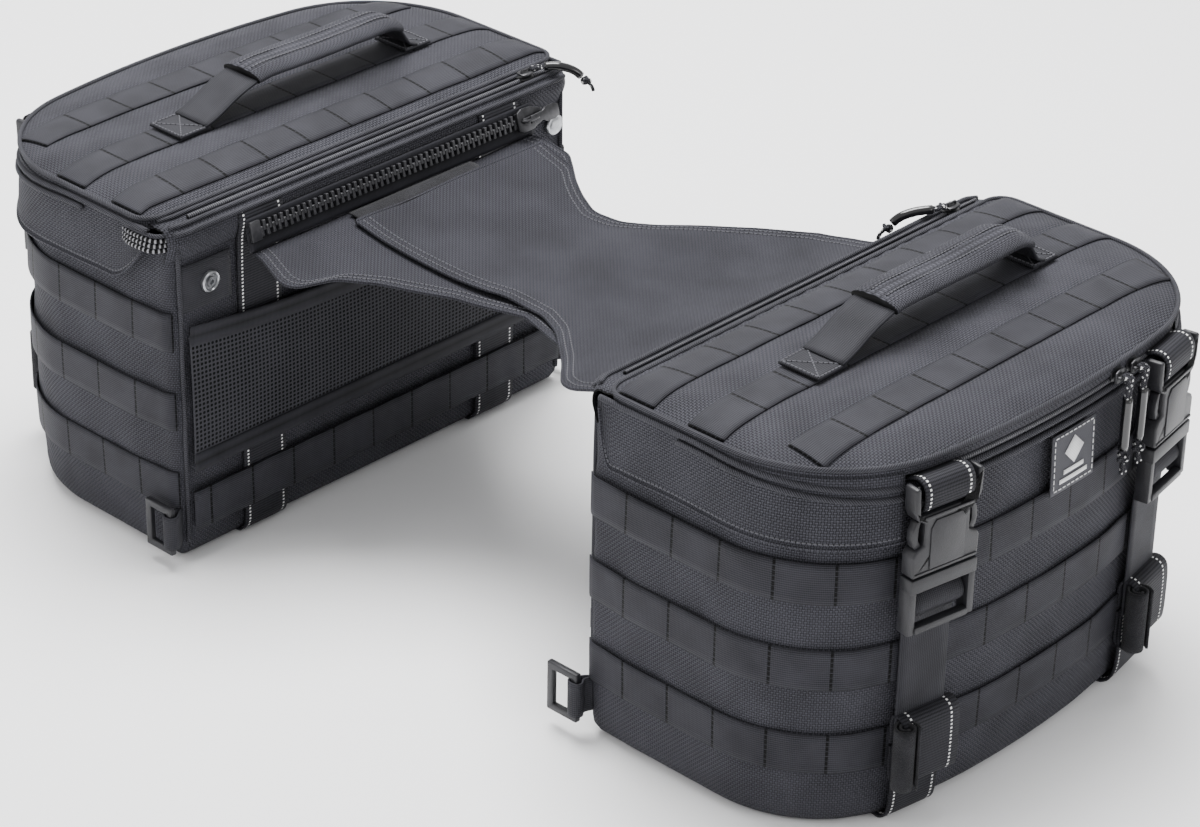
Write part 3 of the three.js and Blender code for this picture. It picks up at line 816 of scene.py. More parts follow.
def flap_drop(word, side, end):
    """A storm flap: cloth that hangs from the lid over the end of the bag. Its inner end is cut back aslant, its
    lower edge is hemmed, and it is sewn under a piping that falls to the zip's lower edge past its outer end."""
    body, name = f"{word}_lid_body", "front" if end < 0 else "rear"
    first, last = BAG.starts["near_end"] + 4, BAG.at_corner(-1, FLAP_ANGLE)
    if end > 0:
        first, last = BAG.at_corner(1, FLAP_ANGLE), BAG.starts["inner_far"] - 4
    length = last - first

    def low_edge(run):
        """The hem's height, which rises to the lid before the inner corner, sooner on the left bag."""
        cut = 36 if side < 0 else 12
        short = max(0.0, cut - run) / cut
        return 207.0 + 38 * short ** 1.7 + 1.6 * math.sin(run / 34)

    def hang(s, t):
        run = s if end < 0 else length - s
        low = low_edge(run)
        z = low + (252.5 - low) * t / 45
        drop = (252.5 - z) / 44
        u, v = BAG.at(first + s, 1.0 + 3.4 * drop + 1.7 * drop * ripple(s, z, 2.9 + side + end, 44))
        return u, v, z

    bm = cloth(64, 16, length, 45, hang)
    obj = finished(bm, f"{word}_{name}_storm_flap", NYLON, body, side, thickness=1.3, slot="ballistic_nylon")
    stitches = Route([hang(s, 3.6) for s in np.linspace(3, length - 1, 50)])
    finished(tube(stitches, 0.55, 6, 2.0), f"{word}_{name}_flap_stitches", THREAD, body, side)
    roll = Route([hang(s, 0.2) for s in np.linspace(0, length, 50)])
    finished(tube(roll, 1.1, 8, 3.0), f"{word}_{name}_flap_hem", NYLON, body, side)
    for number, (start, high, low, out) in enumerate([(0, 252.0, 242.6, 1.3), (64, 247.0, 236.0, 2.4)]):
        line = []
        for s in np.linspace(start, length, 44):
            fall = max(0.0, s - 70) / (length - 70)
            place = first + (s if end < 0 else length - s)
            line.append((*BAG.at(place, out), high + (low - high) * fall * fall * (3 - 2 * fall)))
        finished(tube(Route(line), 2.0), f"{word}_{name}_flap_piping_{number}", PIPING, body, side)


def outer_gusset(word, side):
    """What runs along the outer face under the lid: the coil zip on its tape, and two rows of piping."""
    body = f"{word}_bag"
    first = BAG.starts["outer"] + OUTER_R * (math.asin(-98 / OUTER_R) + OUTER_HALF)
    last = BAG.at_corner(1, math.radians(24.5))
    coil = Route([(*BAG.at(s, -1.6), 246.4) for s in np.arange(first, last, 4)])
    finished(tube(coil, 1.9, 8, 2.5), f"{word}_outer_zip_coil", COIL, body, side, hides=[f"{word}_outer_zip"],
             slot="coil_zip")
    first, last = BAG.at_corner(-1, FLAP_ANGLE - 0.01), BAG.at_corner(1, FLAP_ANGLE - 0.01)

    def strip(s, t):
        u, v = BAG.at(first + s, -3.9 + 2.4 * math.sin(min(1.0, t / 9) * math.pi / 2) - 2.6 * max(0.0, t - 9) / 6)
        return u, v, 231 + t

    finished(cloth(90, 8, last - first, 15, strip), f"{word}_outer_gusset", NYLON, body, side, thickness=1.0)
    for number, (z, out) in enumerate([(242.3, 0.2), (235.6, 0.4)]):
        line = [(*BAG.at(s, out), z) for s in np.arange(first, last, 5)]
        finished(tube(Route(line), 2.1), f"{word}_outer_piping_{number}", PIPING, body, side)


def bow(s):
    """Webbing sewn down at each step stands a little proud between its stitches."""
    return 0.35 * abs(math.sin(math.pi * s / STITCH_STEP)) ** 0.6


def belts(word, side):
    """The load-bearing webbing: three rows round the wall, one low on the inner face, three along the lid."""
    body = f"{word}_bag"
    first, last = BAG.starts["near_end"] - 12, BAG.starts["inner_far"] + 12
    for number, middle in enumerate(BELT_ROWS):
        def row(s, t, middle=middle):
            return on_wall(first + s, middle - 14 + t, 0.5 + bow(s) + 0.25 * ripple(s, middle, 7.7, 25))
        bm = cloth(150, 6, last - first, 28, row)
        finished(bm, f"{word}_belt_{number}", BELT, body, side, thickness=1.0, outwards=1, slot="webbing")

    def low_row(s, t):
        return 0.4 - 2 * bow(s + 19), 178 - s, 25 + t

    finished(cloth(80, 6, 356, 30, low_row), f"{word}_inner_belt", BELT, body, side, thickness=1.2, outwards=0,
             slot="webbing")
    for number, u in enumerate(LID_ROWS):
        span = HALF - 2.5
        if number == 2:
            span = CORNER_V + math.sqrt((CORNER_R - 3) ** 2 - (u + 10 - CORNER_U) ** 2)

        def along(s, t, u=u, span=span):
            v, across = s - span, u + 14 - t
            return across, v, lid_height(across, v) + 0.35 + bow(s)
        finished(cloth(120, 6, 2 * span, 28, along), f"{word}_lid_belt_{number}", BELT, f"{word}_lid_body", side,
                 thickness=0.9, outwards=1, slot="webbing")


def carry_handle(word, side):
    """The handle: sewn-down ends, a strap that rises from each, and the sleeve of the grip."""
    lid, body = f"{word}_lid_body", f"{word}_handle_body"
    for name, first, last in (("near", -107, -80), ("far", 104, 129)):
        def patch(s, t, first=first):
            v, u = first + s, 116 - t
            return u, v, max(lid_height(u, v) + 2.4, 267.2)
        finished(cloth(10, 8, last - first, 32, patch), f"{word}_handle_{name}_anchor", WEBBING, lid, side,
                 thickness=1.8, outwards=1, slot="webbing")
        box = [(115, first + 1.5), (85, first + 1.5), (85, last - 1.5), (115, last - 1.5)]
        runs = [*zip(box, box[1:] + box[:1]), (box[0], box[2]), (box[1], box[3])]
        lines = []
        for (a, b), (c, d) in runs:
            route = Route([(a + (c - a) * k / 5, b + (d - b) * k / 5,
                            max(lid_height(a + (c - a) * k / 5, b + (d - b) * k / 5) + 2.4, 267.2) + 1.9)
                           for k in range(6)])
            lines.append(tube(route, 0.55, 6, 2.0))
        finished(joined(*lines), f"{word}_handle_{name}_box_stitch", THREAD, lid, side)
    near = ribbon([(100, -84, 269.2), (100, -72, 273.5), (100, -52, 283), (100, -30, 290)], (1, 0, 0), 32)
    far = ribbon([(100, 92, 291), (100, 101, 283.5), (100, 108, 273), (100, 116, 269.4)], (1, 0, 0), 32)
    for name, bm, foot, top in (("near", near, -88, -55), ("far", far, 118, 98)):
        obj = finished(bm, f"{word}_handle_{name}_rise", WEBBING, None, side, thickness=1.9, outwards=0,
                       slot="webbing")
        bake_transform(obj)
    centre = Route([(100, -37, 291), (100, -20, 292.8), (100, 20, 292), (100, 60, 292.2), (100, 88, 292.6),
                    (100, 101, 288.5)])

    def grip(s, turn):
        place, tangent, _ = centre.at(s)
        up = Vector((0, -tangent.z, tangent.y))
        angle = 2 * math.pi * turn
        wide, thick = 18.5, 3.1
        x = math.copysign(abs(math.cos(angle)) ** 0.45, math.cos(angle)) * wide
        y = math.copysign(abs(math.sin(angle)) ** 0.7, math.sin(angle)) * thick
        droop = -2.4 * (x / wide) ** 2 + 0.5 * ripple(s, x, 5.5, 22)
        return place + Vector((x, 0, 0)) + up * (y + droop)

    bm = cloth(48, 32, centre.length, 1.0, grip, weld=True)
    layer = bm.loops.layers.uv["flat"]
    for face in bm.faces:
        for loop in face.loops:
            loop[layer].uv.y *= 84
    bmesh.ops.holes_fill(bm, edges=[e for e in bm.edges if e.is_boundary])
    bmesh.ops.recalc_face_normals(bm, faces=bm.faces)
    finished(bm, f"{word}_handle_grip", NYLON, body, side, hides=[f"{word}_handle"], slot="webbing")
    for number, x in enumerate((-6, 6)):
        line = [centre.at(s)[0] + Vector((x, 0, 3.0)) for s in np.linspace(4, centre.length - 4, 30)]
        finished(tube(Route(line), 0.5, 6, 2.0), f"{word}_grip_stitches_{number}", THREAD, body, side)


# ---- straps and buckles ----

def mirrored(half):
    """A closed shape from its right half, drawn from the bottom up."""
    return [*half, *[(-x, y) for x, y in reversed(half)]]


def buckle_socket():
    """The socket, drawn with x across, y up and z out: waisted sides with a window for each arm, and two horns at
    the top with the webbing's bar between them."""
    shell = plate(mirrored([(25.6, 187.2), (26, 202), (24, 205.5), (17.6, 208), (17.6, 223), (23.5, 226.5),
                            (26.2, 232), (26.6, 248), (22.6, 248.6), (21.4, 228.6)]), 3.2, 14.4, 1.5, 3)
    panel = plate(mirrored([(13.5, 191), (13.5, 219), (10, 224)]), 14.0, 15.3, 0.6)
    step = plate(mirrored([(24.4, 188.8), (24.4, 190.4)]), 14.0, 15.0, 0.3)
    rim = plate(mirrored([(19, 226), (19, 228.2)]), 13.6, 15.6, 0.5)
    bar = plate(mirrored([(22, 232.5), (22, 236.5)]), 7, 11, 0.8)
    return joined(shell, panel, step, rim, bar)


def buckle_plug():
    """The plug: two rails, the ladder's bars between them, and the two sprung arms that show in the windows."""
    parts = [plate([(-26, 176), (26, 176), (26, 186.2), (-26, 186.2)], 3.2, 14.6, 1.2)]
    for way in (-1, 1):
        parts.append(plate([(way * 20.5, 147), (way * 26, 147), (way * 26, 178), (way * 20.5, 178)], 3.2, 13.6, 1.0))
        arm = [(17, 205), (20.6, 204), (24, 207.4), (25.6, 213), (25.2, 219), (22.6, 224.4), (19, 226), (20.6, 219),
               (20.8, 212)]
        parts.append(plate([(way * x, y) for x, y in arm], 6, 12, 0.9))
    parts.append(plate([(-21, 147), (21, 147), (21, 152), (-21, 152)], 8, 14.6, 1.2))
    parts.append(plate([(-21, 160.5), (21, 160.5), (21, 165), (-21, 165)], 4.6, 8.6, 0.8))
    return joined(*parts)


def straps(word, side, end):
    """One compression strap, from under the lid, round the bag to its inner face, with its buckle and keeper."""
    name, bag = ("front" if end < 0 else "rear"), f"{word}_bag"
    over = Vector(station(end, 0, 1, 0)) - Vector(station(end, 0, 0, 0))

    def strap(label, points, material, step, **more):
        bm = ribbon([station(end, *p) for p in points], over, 38, step=step)
        return finished(bm, f"{word}_{name}_{label}", material, bag, side, thickness=1.6, outwards=0, slot="webbing",
                        **more)

    strap("upper_webbing", ((-3.4, 0, 246.4), (0.6, 0, 248.4), (6, 0, 250), (11, 0, 248.6), (13.9, 0, 244),
                            (14.2, 0, 238), (13.2, 0, 232.6), (10, 0, 230.2), (6.4, 0, 231), (4.6, 0, 236),
                            (3, 0, 243)), TRACER, 1.6, hides=[f"{word}_{name}_upper_strap"])
    strap("outer_webbing", ((0.6, 0, 56), (0.5, 0, 90), (0.5, 0, 134), (0.8, 0, 146), (2.6, 0, 152), (7.4, 0, 156.4),
                            (10.6, 0, 160.4), (10.8, 0, 165), (8.0, 0, 169.6), (3.8, 0, 172), (1.6, 0, 169)),
          WEBBING, 1.6, hides=[f"{word}_{name}_lower_strap"])
    strap("foot_webbing", ((-60, 0, 1.2), (-16, 0, 1.2), (-8, 0, 2.4), (-3.4, 0, 7), (-1.0, 0, 16), (-0.4, 0, 30),
                           (-0.6, 0, 60)), TRACER, 2.5)
    inside = ribbon([(1.0, end * STRAP_V, 250), (-1.4, end * STRAP_V, 246), (-0.9, end * STRAP_V, 240),
                     (1.2, end * STRAP_V, 230)]
                    + [(2.2, end * STRAP_V, z) for z in (200, 150, 100, 60, 20)]
                    + [(3.2, end * STRAP_V, 9), (8, end * STRAP_V, 3), (16, end * STRAP_V, 1.2),
                       (60, end * STRAP_V, 1.2), (165, end * STRAP_V, 1.2)], (0, 1, 0), 38, step=3)
    finished(inside, f"{word}_{name}_inner_webbing", TRACER, bag, side, thickness=1.7, outwards=0, slot="webbing")
    place = station_matrix(end)
    finished(moved(buckle_socket(), place), f"{word}_{name}_socket", ACETAL, bag, side,
             hides=[f"{word}_{name}_buckle_socket"], sharp=35, slot="acetal")
    finished(moved(buckle_plug(), place), f"{word}_{name}_plug", ACETAL, f"{word}_{name}_plug_body", side,
             hides=[f"{word}_{name}_buckle_plug"], sharp=35, slot="acetal")
    keeper(word, side, end, name)


def keeper(word, side, end, name):
    """The keeper: webbing that loops over the slack, with the rolled end of its hook-and-loop."""
    body = f"{word}_{name}_keeper_body"
    over = Vector(station(end, 0, 1, 0)) - Vector(station(end, 0, 0, 0))
    loop = [(-3.2, 3, 58), (-3.2, 3, 38), (-1.0, 3, 32.8), (4, 3, 32.2), (8.2, 3, 35), (9.6, 3, 42), (9.9, 3, 57),
            (9.6, 3, 71), (8.2, 3, 78), (4, 3, 81), (-1.0, 3, 80.4), (-3.2, 3, 76), (-3.2, 3, 60)]
    band = ribbon([station(end, *p) for p in loop], over, 44, step=2.0)
    finished(band, f"{word}_{name}_keeper_band", TRACER, body, side, hides=[f"{word}_{name}_strap_keeper"],
             thickness=1.8, outwards=0, slot="webbing")
    turns = []
    for k in range(30):
        angle = 0.5 + k * 0.42
        radius = 8.6 - k * 0.2
        turns.append(station(end, 11 + radius * math.cos(angle), -19 + radius * math.sin(angle), 57))
    roll = ribbon(turns, (0, 0, 1), 44, step=2.0, rows=10)
    finished(roll, f"{word}_{name}_keeper_roll", PILE, body, side, thickness=1.6, outwards=0)


def tie_ring(word, side, end):
    """The tie-down ring and the webbing tab that holds it on the corner seam."""
    name = "front" if end < 0 else "rear"
    moulded(f"{word}_{name}_tie_ring", f"{word}_{name}_ring", ACETAL, f"{word}_{name}_ring_body", 0.9, "acetal")
    bar = (4.5, end * (HALF + 3.85))
    loop = [(9, end * (HALF - 8)), (6.5, end * (HALF - 1)), (9.2, end * (HALF + 2.5)), (8.6, end * (HALF + 6.5)),
            (4.5, end * (HALF + 8.0)), (0.4, end * (HALF + 6.5)), (-0.4, end * (HALF + 2.5)),
            (2.4, end * (HALF - 2)), (8, end * (HALF - 9))]
    tab = ribbon([(u, v, 30) for u, v in loop], (0, 0, 1), 25, step=1.6)
    finished(tab, f"{word}_{name}_ring_tab", WEBBING, f"{word}_bag", side, thickness=1.5, outwards=0, slot="webbing")


# ---- zip sliders and cord pulls ----

def zip_slider(high=8.4):
    """A cast slider drawn at the origin: shield-shaped plates, the bridge between them and its eye; x runs along
    the zip, z out of it."""
    shield = [(-6, -3.4), (-2, -4.6), (4, -4.2), (6, -2.4), (6, 2.4), (4, 4.2), (-2, 4.6), (-6, 3.4)]
    crown = plate(shield, 1.8, 3.2, 0.5)
    back = plate(shield, -1.6, -0.4, 0.4)
    eye = Route([(-4, 0, 2.6), (-3.4, 0, 5), (0, 0, high - 3), (3.4, 0, 5), (4, 0, 2.6)])
    return joined(crown, back, tube(eye, 0.9, 8, 1.2), plate([(3, -1.2), (5.4, -1.2), (5.4, 1.2), (3, 1.2)], -0.6, 2, 0.3))


def knotted(centre, size, radius):
    """A cord's knot: one closed tangle of three lobes."""
    route = []
    for k in range(24):
        t = 2 * math.pi * k / 24
        route.append(Vector(centre) + size * Vector((math.sin(t) + 2 * math.sin(2 * t),
                                                      math.cos(t) - 2 * math.cos(2 * t), -1.4 * math.sin(3 * t))))
    return tube(Route(route, closed=True), radius, 8, 1.5, closed=True)


def outer_pulls(word, side):
    """Two sliders on the outer zip, each with a cord pull that hangs beside it."""
    for letter, degrees in (("a", 4.1), ("b", 5.4)):
        angle = math.radians(degrees)
        out, along = Vector((math.cos(angle), math.sin(angle), 0)), Vector((-math.sin(angle), math.cos(angle), 0))
        origin = Vector((OUTER_CENTRE_U, 0, 0)) + out * OUTER_R

        def at(n, w, z):
            return origin + out * n + along * w + Vector((0, 0, z))
        place = Matrix((along, (0, 0, 1), out)).transposed().to_4x4()
        place = Matrix.Translation(at(1.2, 0, 249.6)) @ place
        finished(moved(zip_slider(), place), f"{word}_slider_{letter}", GUNMETAL, f"{word}_outer_slider_{letter}_body",
                 side, hides=[f"{word}_outer_slider_{letter}"], sharp=40, slot="gunmetal")
        body = f"{word}_outer_pull_{letter}_body"
        strands = []
        for w in (-1.5, 1.5):
            strands.append(tube(Route([at(6.2, w * 0.5, 250.5), at(9.6, w * 1.5, 250.8), at(11, w * 1.3, 246),
                                       at(10.4, w, 240), at(10.4, w * 0.8, 232)]), 1.5, 8, 1.6))
            strands.append(tube(Route([at(10.4, w * 0.8, 202), at(10.4, w, 197), at(10.4, w * 1.2, 192)]), 1.5, 8, 1.6))
        tails = [tube(Route([at(10.4, 0, 191), at(11.4, w, 187), at(11.8, 2.2 * w, 183.6)]), 1.3, 8, 1.6)
                 for w in (-1, 1.2)]
        knots = [knotted(at(10.6, 0, 194.2), 1.15, 1.45), knotted(at(9.4, 0, 249.2), 0.95, 1.3)]
        finished(joined(*strands, *tails, *knots), f"{word}_pull_cord_{letter}", CORD, body, side,
                 hides=[f"{word}_outer_pull_{letter}"], slot="cord")
        sleeve = tube(Route([at(10.4, 0, z) for z in (236, 224, 212, 200)]), 3.3, 14, 3)
        finished(sleeve, f"{word}_pull_sleeve_{letter}", SLEEVE, body, side, slot="cord")


def inner_pull(word, side):
    """The slider on the inner zip, and its pull lying over the shoulder: to the far side of the slider on the left
    bag, and to its near side on the right one."""
    place = Matrix.Translation((11.4, 152, 257)) @ Matrix.Rotation(math.pi / 2, 4, "Z")
    finished(moved(zip_slider(7.4), place), f"{word}_slider_c", GUNMETAL, f"{word}_inner_slider_body", side,
             hides=[f"{word}_inner_slider"], sharp=40, slot="gunmetal")
    line = Route([(u, 152 - side * off, z) for u, off, z in ((10.5, 6, 261), (8, 15, 260.8), (1, 25, 260), (-6, 33, 256), (-11, 39, 248.5))])
    body = f"{word}_inner_pull_body"
    strands = []
    for w in (-1.6, 1.6):
        points = [line.at(s)[0] + Vector((0.7, -0.7 * side, 0)) * w for s in (0, 4, 8, 12)]
        strands.append(tube(Route(points), 1.4, 8, 1.6))
    end = line.at(line.length)[0]
    strands += [knotted(line.at(2)[0], 0.85, 1.2), knotted(end, 1.05, 1.4)]
    strands.append(tube(Route([end, end + Vector((-3, -3 * side, -4)), end + Vector((-4, -4 * side, -8))]), 1.3, 8, 1.6))
    finished(joined(*strands), f"{word}_inner_pull_cord", CORD, body, side, hides=[f"{word}_inner_pull"], slot="cord")
    sleeve = tube(Route([line.at(s)[0] for s in np.linspace(10, line.length - 5, 8)]), 3.1, 14, 2)
    finished(sleeve, f"{word}_inner_pull_sleeve", SLEEVE, body, side, slot="cord")


# ---- the inner face ----

def inner_face(word, side):
    """The mesh pocket with its bindings, the corner seams, the snap tab, and the snap cap at the far end."""
    bag = f"{word}_bag"

    def pocket(s, t):
        v = 177 - s
        sag = 12 * (1 - (v / 177) ** 2)
        z = 78 + (97 - sag) * t / 97
        return -0.6 - 1.0 * math.sin(math.pi * t / 97) + 0.5 * ripple(v, z, 3.3, 40), v, z

    finished(cloth(90, 20, 354, 97, pocket), f"{word}_pocket_mesh", MESH, bag, side, hides=[f"{word}_mesh_pocket"],
             thickness=0.8, outwards=0, slot="mesh")
    for name, row in (("top", 97), ("bottom", 0)):
        def tape(s, t, row=row):
            u, v, z = pocket(s, row)
            return -1.6, v, z - 7 + t
        finished(cloth(90, 4, 354, 14, tape), f"{word}_pocket_{name}_binding", BINDING, bag, side, thickness=1.0,
                 outwards=0, slot="webbing")
    for name, end in (("near", -1), ("far", 1)):
        s = BAG.starts["inner_near"] + 3 if end < 0 else BAG.starts["inner_face"] - 3
        seam = Route([on_wall(s, z, 0.3) for z in np.linspace(14, 240, 30)])
        finished(tube(seam, 1.6, 8, 5), f"{word}_{name}_corner_seam", PIPING, bag, side)
    tab = ribbon([(4.4, -180, 208), (3.0, -172, 208), (2.6, -156, 208), (2.6, -137, 208)], (0, 0, 1), 34)
    finished(tab, f"{word}_snap_tab", WEBBING, bag, side, thickness=1.6, outwards=0, slot="webbing")
    turn = Matrix.Rotation(-math.pi / 2, 4, "Y")
    stud = turned([(0.01, 0.4), (1.6, 0.4), (1.8, 2.2), (3.4, 2.2), (3.8, 0.9), (5.4, 0.9), (6.2, 2.2), (7.4, 1.6),
                   (7.8, 0), (7.4, -0.6), (0.01, -0.6)])
    finished(moved(stud, Matrix.Translation((1.6, -156, 208)) @ turn), f"{word}_snap_stud", NICKEL, bag, side,
             hides=[f"{word}_snap"], sharp=40, slot="nickel")
    cap = turned([(0.01, 3.2), (3, 3.1), (5.6, 2.6), (6.6, 2.0), (7.4, 2.1), (8, 1.2), (7.8, 0), (0.01, -0.4)])
    finished(moved(cap, Matrix.Translation((2.2, 172, 216)) @ turn), f"{word}_snap_cap", NICKEL, bag, side,
             sharp=40, slot="nickel")


def sewn_label(word, side):
    """The woven label on the outer face: a pale stitched border and a plain mark of bars under a diamond."""
    start = BAG.starts["outer"] + OUTER_R * OUTER_HALF
    bag = f"{word}_bag"

    def face(s, t, lift=0.0):
        u, v, z = on_wall(start - 9 + s, 190 + t, 4.6 + lift)
        return u, v, z

    finished(cloth(14, 14, 44, 41, face), f"{word}_label", LABEL, bag, side, thickness=0.8, outwards=1)
    marks = []
    for low, first, last in ((6, 8, 36), (11.5, 12, 32)):
        marks.append(cloth(10, 1, last - first, 3, lambda s, t, a=first, b=low: face(a + s, b + t, 1.1)))
    marks.append(cloth(2, 2, 12, 12, lambda s, t: face(22 + (s - t) * 0.8, 26 + (s + t - 12) * 0.8, 1.1)))
    for low in (2.2, 38.8):
        for k in range(9):
            marks.append(cloth(1, 1, 2.8, 0.7, lambda s, t, k=k, b=low: face(3 + k * 4.4 + s, b + t, 1.1)))
    for first in (2.0, 41.4):
        for k in range(8):
            marks.append(cloth(1, 1, 0.7, 2.8, lambda s, t, k=k, a=first: face(a + s, 4 + k * 4.4 + t, 1.1)))
    finished(joined(*marks), f"{word}_label_marks", LABEL_YARN, bag, side, thickness=0.3, outwards=1)


# ---- the yoke ----

def yoke_height(x):
    """The yoke's sag: level in the middle, rising to the zips on both sides."""
    past = (-30 - x) / 115 if x < -30 else (x - 60) / 85
    return 201 + 20 * min(max(past, 0.0), 1.0) ** 1.6


LOWER_NEAR = [(-157, -147), (-145, -150), (-120, -156), (-110, -150), (-107, -124), (-86, -101), (-43, -72),
              (8, -56), (60, -72)]
LOWER_FAR = [(-157, 116), (-145, 118), (-124, 121), (-108, 109), (-96, 95), (-80, 85), (-60, 76), (-38, 80), (-17, 94),
             (4, 114), (34, 138), (60, 150)]
UPPER_NEAR = [(-140, -70), (-115, -68), (-56, -59), (-17, -50), (20, -52), (42, -62), (74, -90), (100, -118),
              (114, -124), (145, -120), (157, -118)]
UPPER_FAR = [(-140, 110), (-108, 108), (-96, 98), (-80, 88), (-60, 79), (-38, 83), (-17, 97), (4, 118), (34, 144),
             (68, 167), (95, 170), (112, 168), (145, 166), (157, 165)]


def edge_line(points):
    """A smooth edge through the plan's corners, as y from x."""
    xs, ys = zip(*points)
    fine = np.linspace(xs[0], xs[-1], 400)
    line = np.interp(fine, xs, ys)
    window = np.hanning(23)
    padded_line = np.pad(line, 11, mode="edge")
    smooth = np.convolve(padded_line, window / window.sum(), mode="valid")
    return lambda x: float(np.interp(x, fine, smooth))


def yoke_folds(x, y, seed):
    """Soft folds that run from the corners towards the middle of the saddle."""
    pull = math.sin((x * 0.75 + y * 0.5) / 21 + 1.5 * ripple(x, y, seed, 90))
    return 2.0 * ripple(x, y, seed + 2, 60) + 1.3 * pull * math.exp(-((x - 10) / 70) ** 2)


def panel(name, near, far, lift, body, hides, joint_bodies, ends, seed):
    """One panel of the yoke: cloth with hemmed edges and soft folds."""
    low, high = edge_line(near), edge_line(far)
    first, last = near[0][0], near[-1][0]

    def place(x, share):
        y = low(x) + (high(x) - low(x)) * share
        edge = min(share, 1 - share) * (high(x) - low(x))
        z = yoke_height(x) + lift + yoke_folds(x, y, seed) * min(1.0, edge / 30 + 0.25)
        return x, y, z

    bm = cloth(96, 84, last - first, 1.0, lambda s, t: place(first + s, t))
    layer = bm.loops.layers.uv["flat"]
    for face in bm.faces:
        for loop in face.loops:
            loop[layer].uv = (loop.vert.co.x, loop.vert.co.y)
    area = sum(f.calc_area() for f in bm.faces) * MM * MM
    obj = finished(bm, name, YOKE_CLOTH, None, thickness=1.3, outwards=0, hides=[hides], slot="ribbed_canvas")
    start, end = (Vector((x, 0, z)) * MM for x, z in ends)
    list(joint_bodies)
    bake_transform(obj)
    made = [obj]
    for label, side_share in (("near", 0), ("far", 1)):
        for number, inset in enumerate((4.5, 10)):
            line = []
            for x in np.linspace(first + 2, last - 2, 80):
                share = inset / (high(x) - low(x))
                px, py, pz = place(x, share if side_share == 0 else 1 - share)
                line.append((px, py, pz + 0.75))
            stitches = finished(tube(Route(line), 0.5, 6, 3.0), f"{name}_{label}_stitches_{number}", THREAD, None)
            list(joint_bodies)
            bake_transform(stitches)
            made.append(stitches)
        edge = []
        for x in np.linspace(first, last, 90):
            edge.append(place(x, side_share))
        roll = finished(tube(Route(edge), 1.15, 8, 3.0, flatten=1.0), f"{name}_{label}_hem", YOKE_CLOTH, None)
        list(joint_bodies)
        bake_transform(roll)
        made.append(roll)
    width = max(high(x) for x in np.linspace(first, last, 60)) - min(low(x) for x in np.linspace(first, last, 60))
    return place


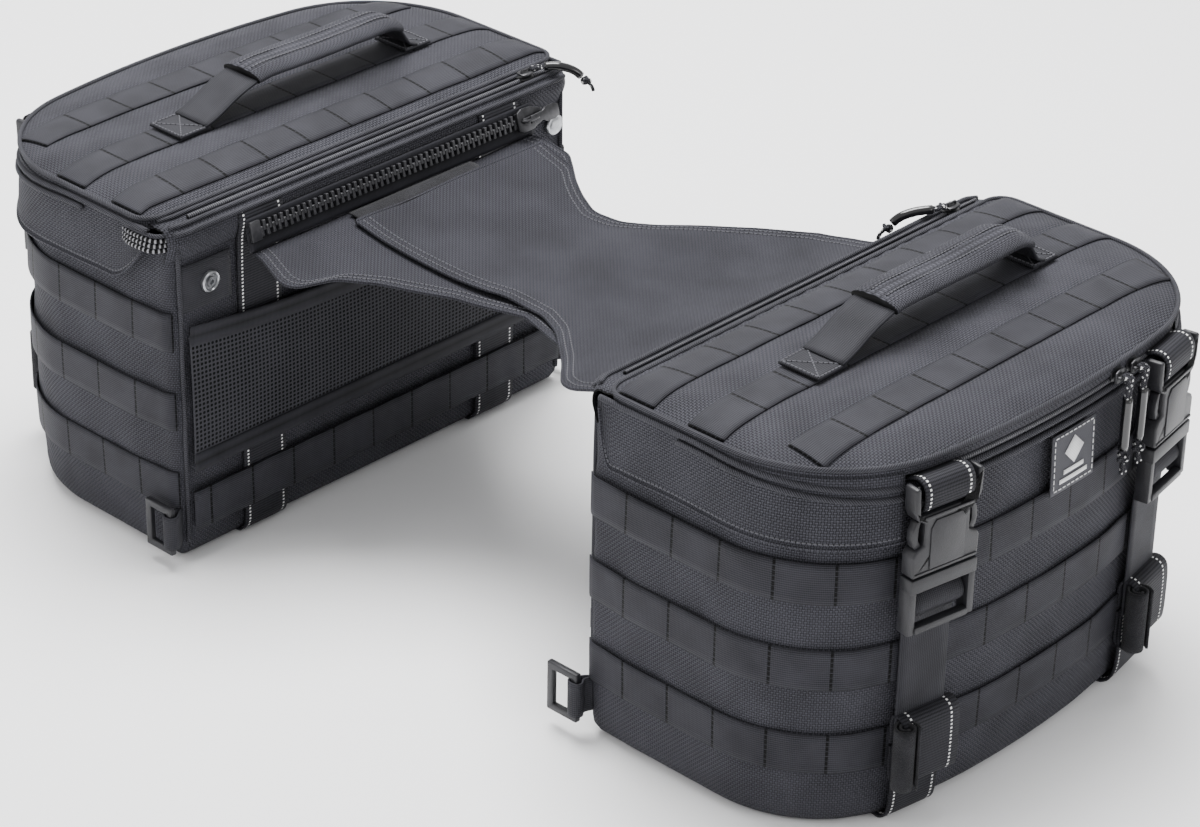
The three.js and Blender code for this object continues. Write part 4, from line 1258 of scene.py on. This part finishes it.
def moulded_zip(word, side):
    """The big zip on a bag's inner face: two tapes, moulded teeth, its slider with a pull tab."""
    bag = f"{word}_bag"

    def tape(points, name, first=-127, last=143):
        profile = Route([(u, 0, z) for u, z in points])
        bm = cloth(70, 6, last - first, profile.length,
                   lambda s, t: (profile.at(t)[0].x + 0.3 * ripple(s, t, 2.4, 35), last - s, profile.at(t)[0].z))
        return finished(bm, f"{word}_{name}", BINDING, bag, side, thickness=1.1, outwards=0, slot="moulded_zip")

    upper = tape([(-3.6, 235), (-3.4, 239), (-2.8, 242.4), (-2.2, 244)], "zip_upper_tape")
    tape([(-7.2, 221.6), (-6.2, 226), (-4.6, 231), (-3.6, 235)], "zip_lower_tape")
    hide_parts(f"yoke_zip_{word}")
    teeth = []
    slope = Matrix.Rotation(math.radians(-76), 4, "Y")
    for way in (-1, 1):
        for k in range(47):
            v = -116 + k * 5.2 + (2.6 if way > 0 else 0)
            shape = [(way * 0.3, -0.9), (way * 5.4, -1.3), (way * 5.4, 1.3), (way * 0.3, 0.9), (-way * 1.2, 1.5),
                     (-way * 1.8, 0), (-way * 1.2, -1.5)]
            tooth = plate(shape, 0.3, 3.0, 0.35, 1)
            teeth.append(moved(tooth, Matrix.Translation((-4.4, v, 235)) @ slope))
    finished(joined(*teeth), f"{word}_zip_teeth", TOOTH, bag, side, sharp=35, slot="moulded_zip")
    slider_body = f"{word}_yoke_slider_body"
    shield = [(-12, -6.5), (-7, -9), (2, -8.4), (8, -6), (12, -5), (12, 5), (8, 6), (2, 8.4), (-7, 9), (-12, 6.5)]
    parts = [plate(shield, 1.2, 3.4, 0.7), plate([(-8, -2), (6, -2), (6, 2), (-8, 2)], 3, 5.4, 0.8),
             tube(Route([(-8, 0, 3.4), (-7, 0, 6.6), (0, 0, 7.6), (6, 0, 6.4), (7, 0, 3.4)]), 1.2, 8, 1.2)]
    grip = [(-3, -3), (9, -3.4), (12, -5.4), (20, -5.8), (25, -4), (25, 4), (20, 5.8), (12, 5.4), (9, 3.4), (-3, 3)]
    parts.append(plate(grip, 6.2, 7.8, 0.6))
    along = Matrix.Rotation(math.pi / 2, 4, "Z")
    place = Matrix.Translation((-6.2, 136, 235)) @ slope @ along
    finished(moved(joined(*parts), place), f"{word}_yoke_slider_detail", GUNMETAL, slider_body, side,
             hides=[f"yoke_slider_{word}"], sharp=38, slot="gunmetal")
    box = plate([(-7, -4), (7, -4), (7, 5), (-7, 5)], 0.4, 3.4, 0.8)
    finished(moved(box, Matrix.Translation((-4.4, -122, 235)) @ slope), f"{word}_zip_end_box", TOOTH, bag, side,
             sharp=38, slot="moulded_zip")


def make_yoke():
    panel("yoke_under_cloth", LOWER_NEAR, LOWER_FAR, -1.2, "yoke_lower_body", "yoke_lower_panel",
          ("left_bag", "yoke_lower_body"), ((-157, 221), (-140, 221)), 1.3)
    place = panel("yoke_over_cloth", UPPER_NEAR, UPPER_FAR, 2.6, "yoke_upper_body", "yoke_upper_panel",
                  ("yoke_upper_body", "right_bag"), ((140, 224), (157, 224)), 6.8)
    strip = cloth(30, 4, 116, 12, lambda s, t: (-151 + t, -66 + s, yoke_height(-151 + t) + 1.6))
    bmesh.ops.reverse_faces(strip, faces=strip.faces)
    finished(strip, "yoke_loop_tape", PILE, "yoke_lower_body", thickness=1.2, outwards=1)
    edge = Route([place(-140, share) for share in np.linspace(0, 1, 40)])
    finished(tube(edge, 1.4, 8, 3), "yoke_free_edge_hem", YOKE_CLOTH, "yoke_upper_body")


# ---- assembly ----

for word, side in (("left", -1), ("right", 1)):
    shell_cloth(word, side)
    shoulder(word, side)
    lid_cloth(word, side)
    outer_gusset(word, side)
    belts(word, side)
    carry_handle(word, side)
    outer_pulls(word, side)
    inner_pull(word, side)
    inner_face(word, side)
    sewn_label(word, side)
    moulded_zip(word, side)
    for end in (-1, 1):
        flap_drop(word, side, end)
        straps(word, side, end)
        tie_ring(word, side, end)
    for node in (f"{word}_base_board", f"{word}_back_board"):
        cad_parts[node].data.materials.clear()
        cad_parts[node].data.materials.append(BOARD)
make_yoke()
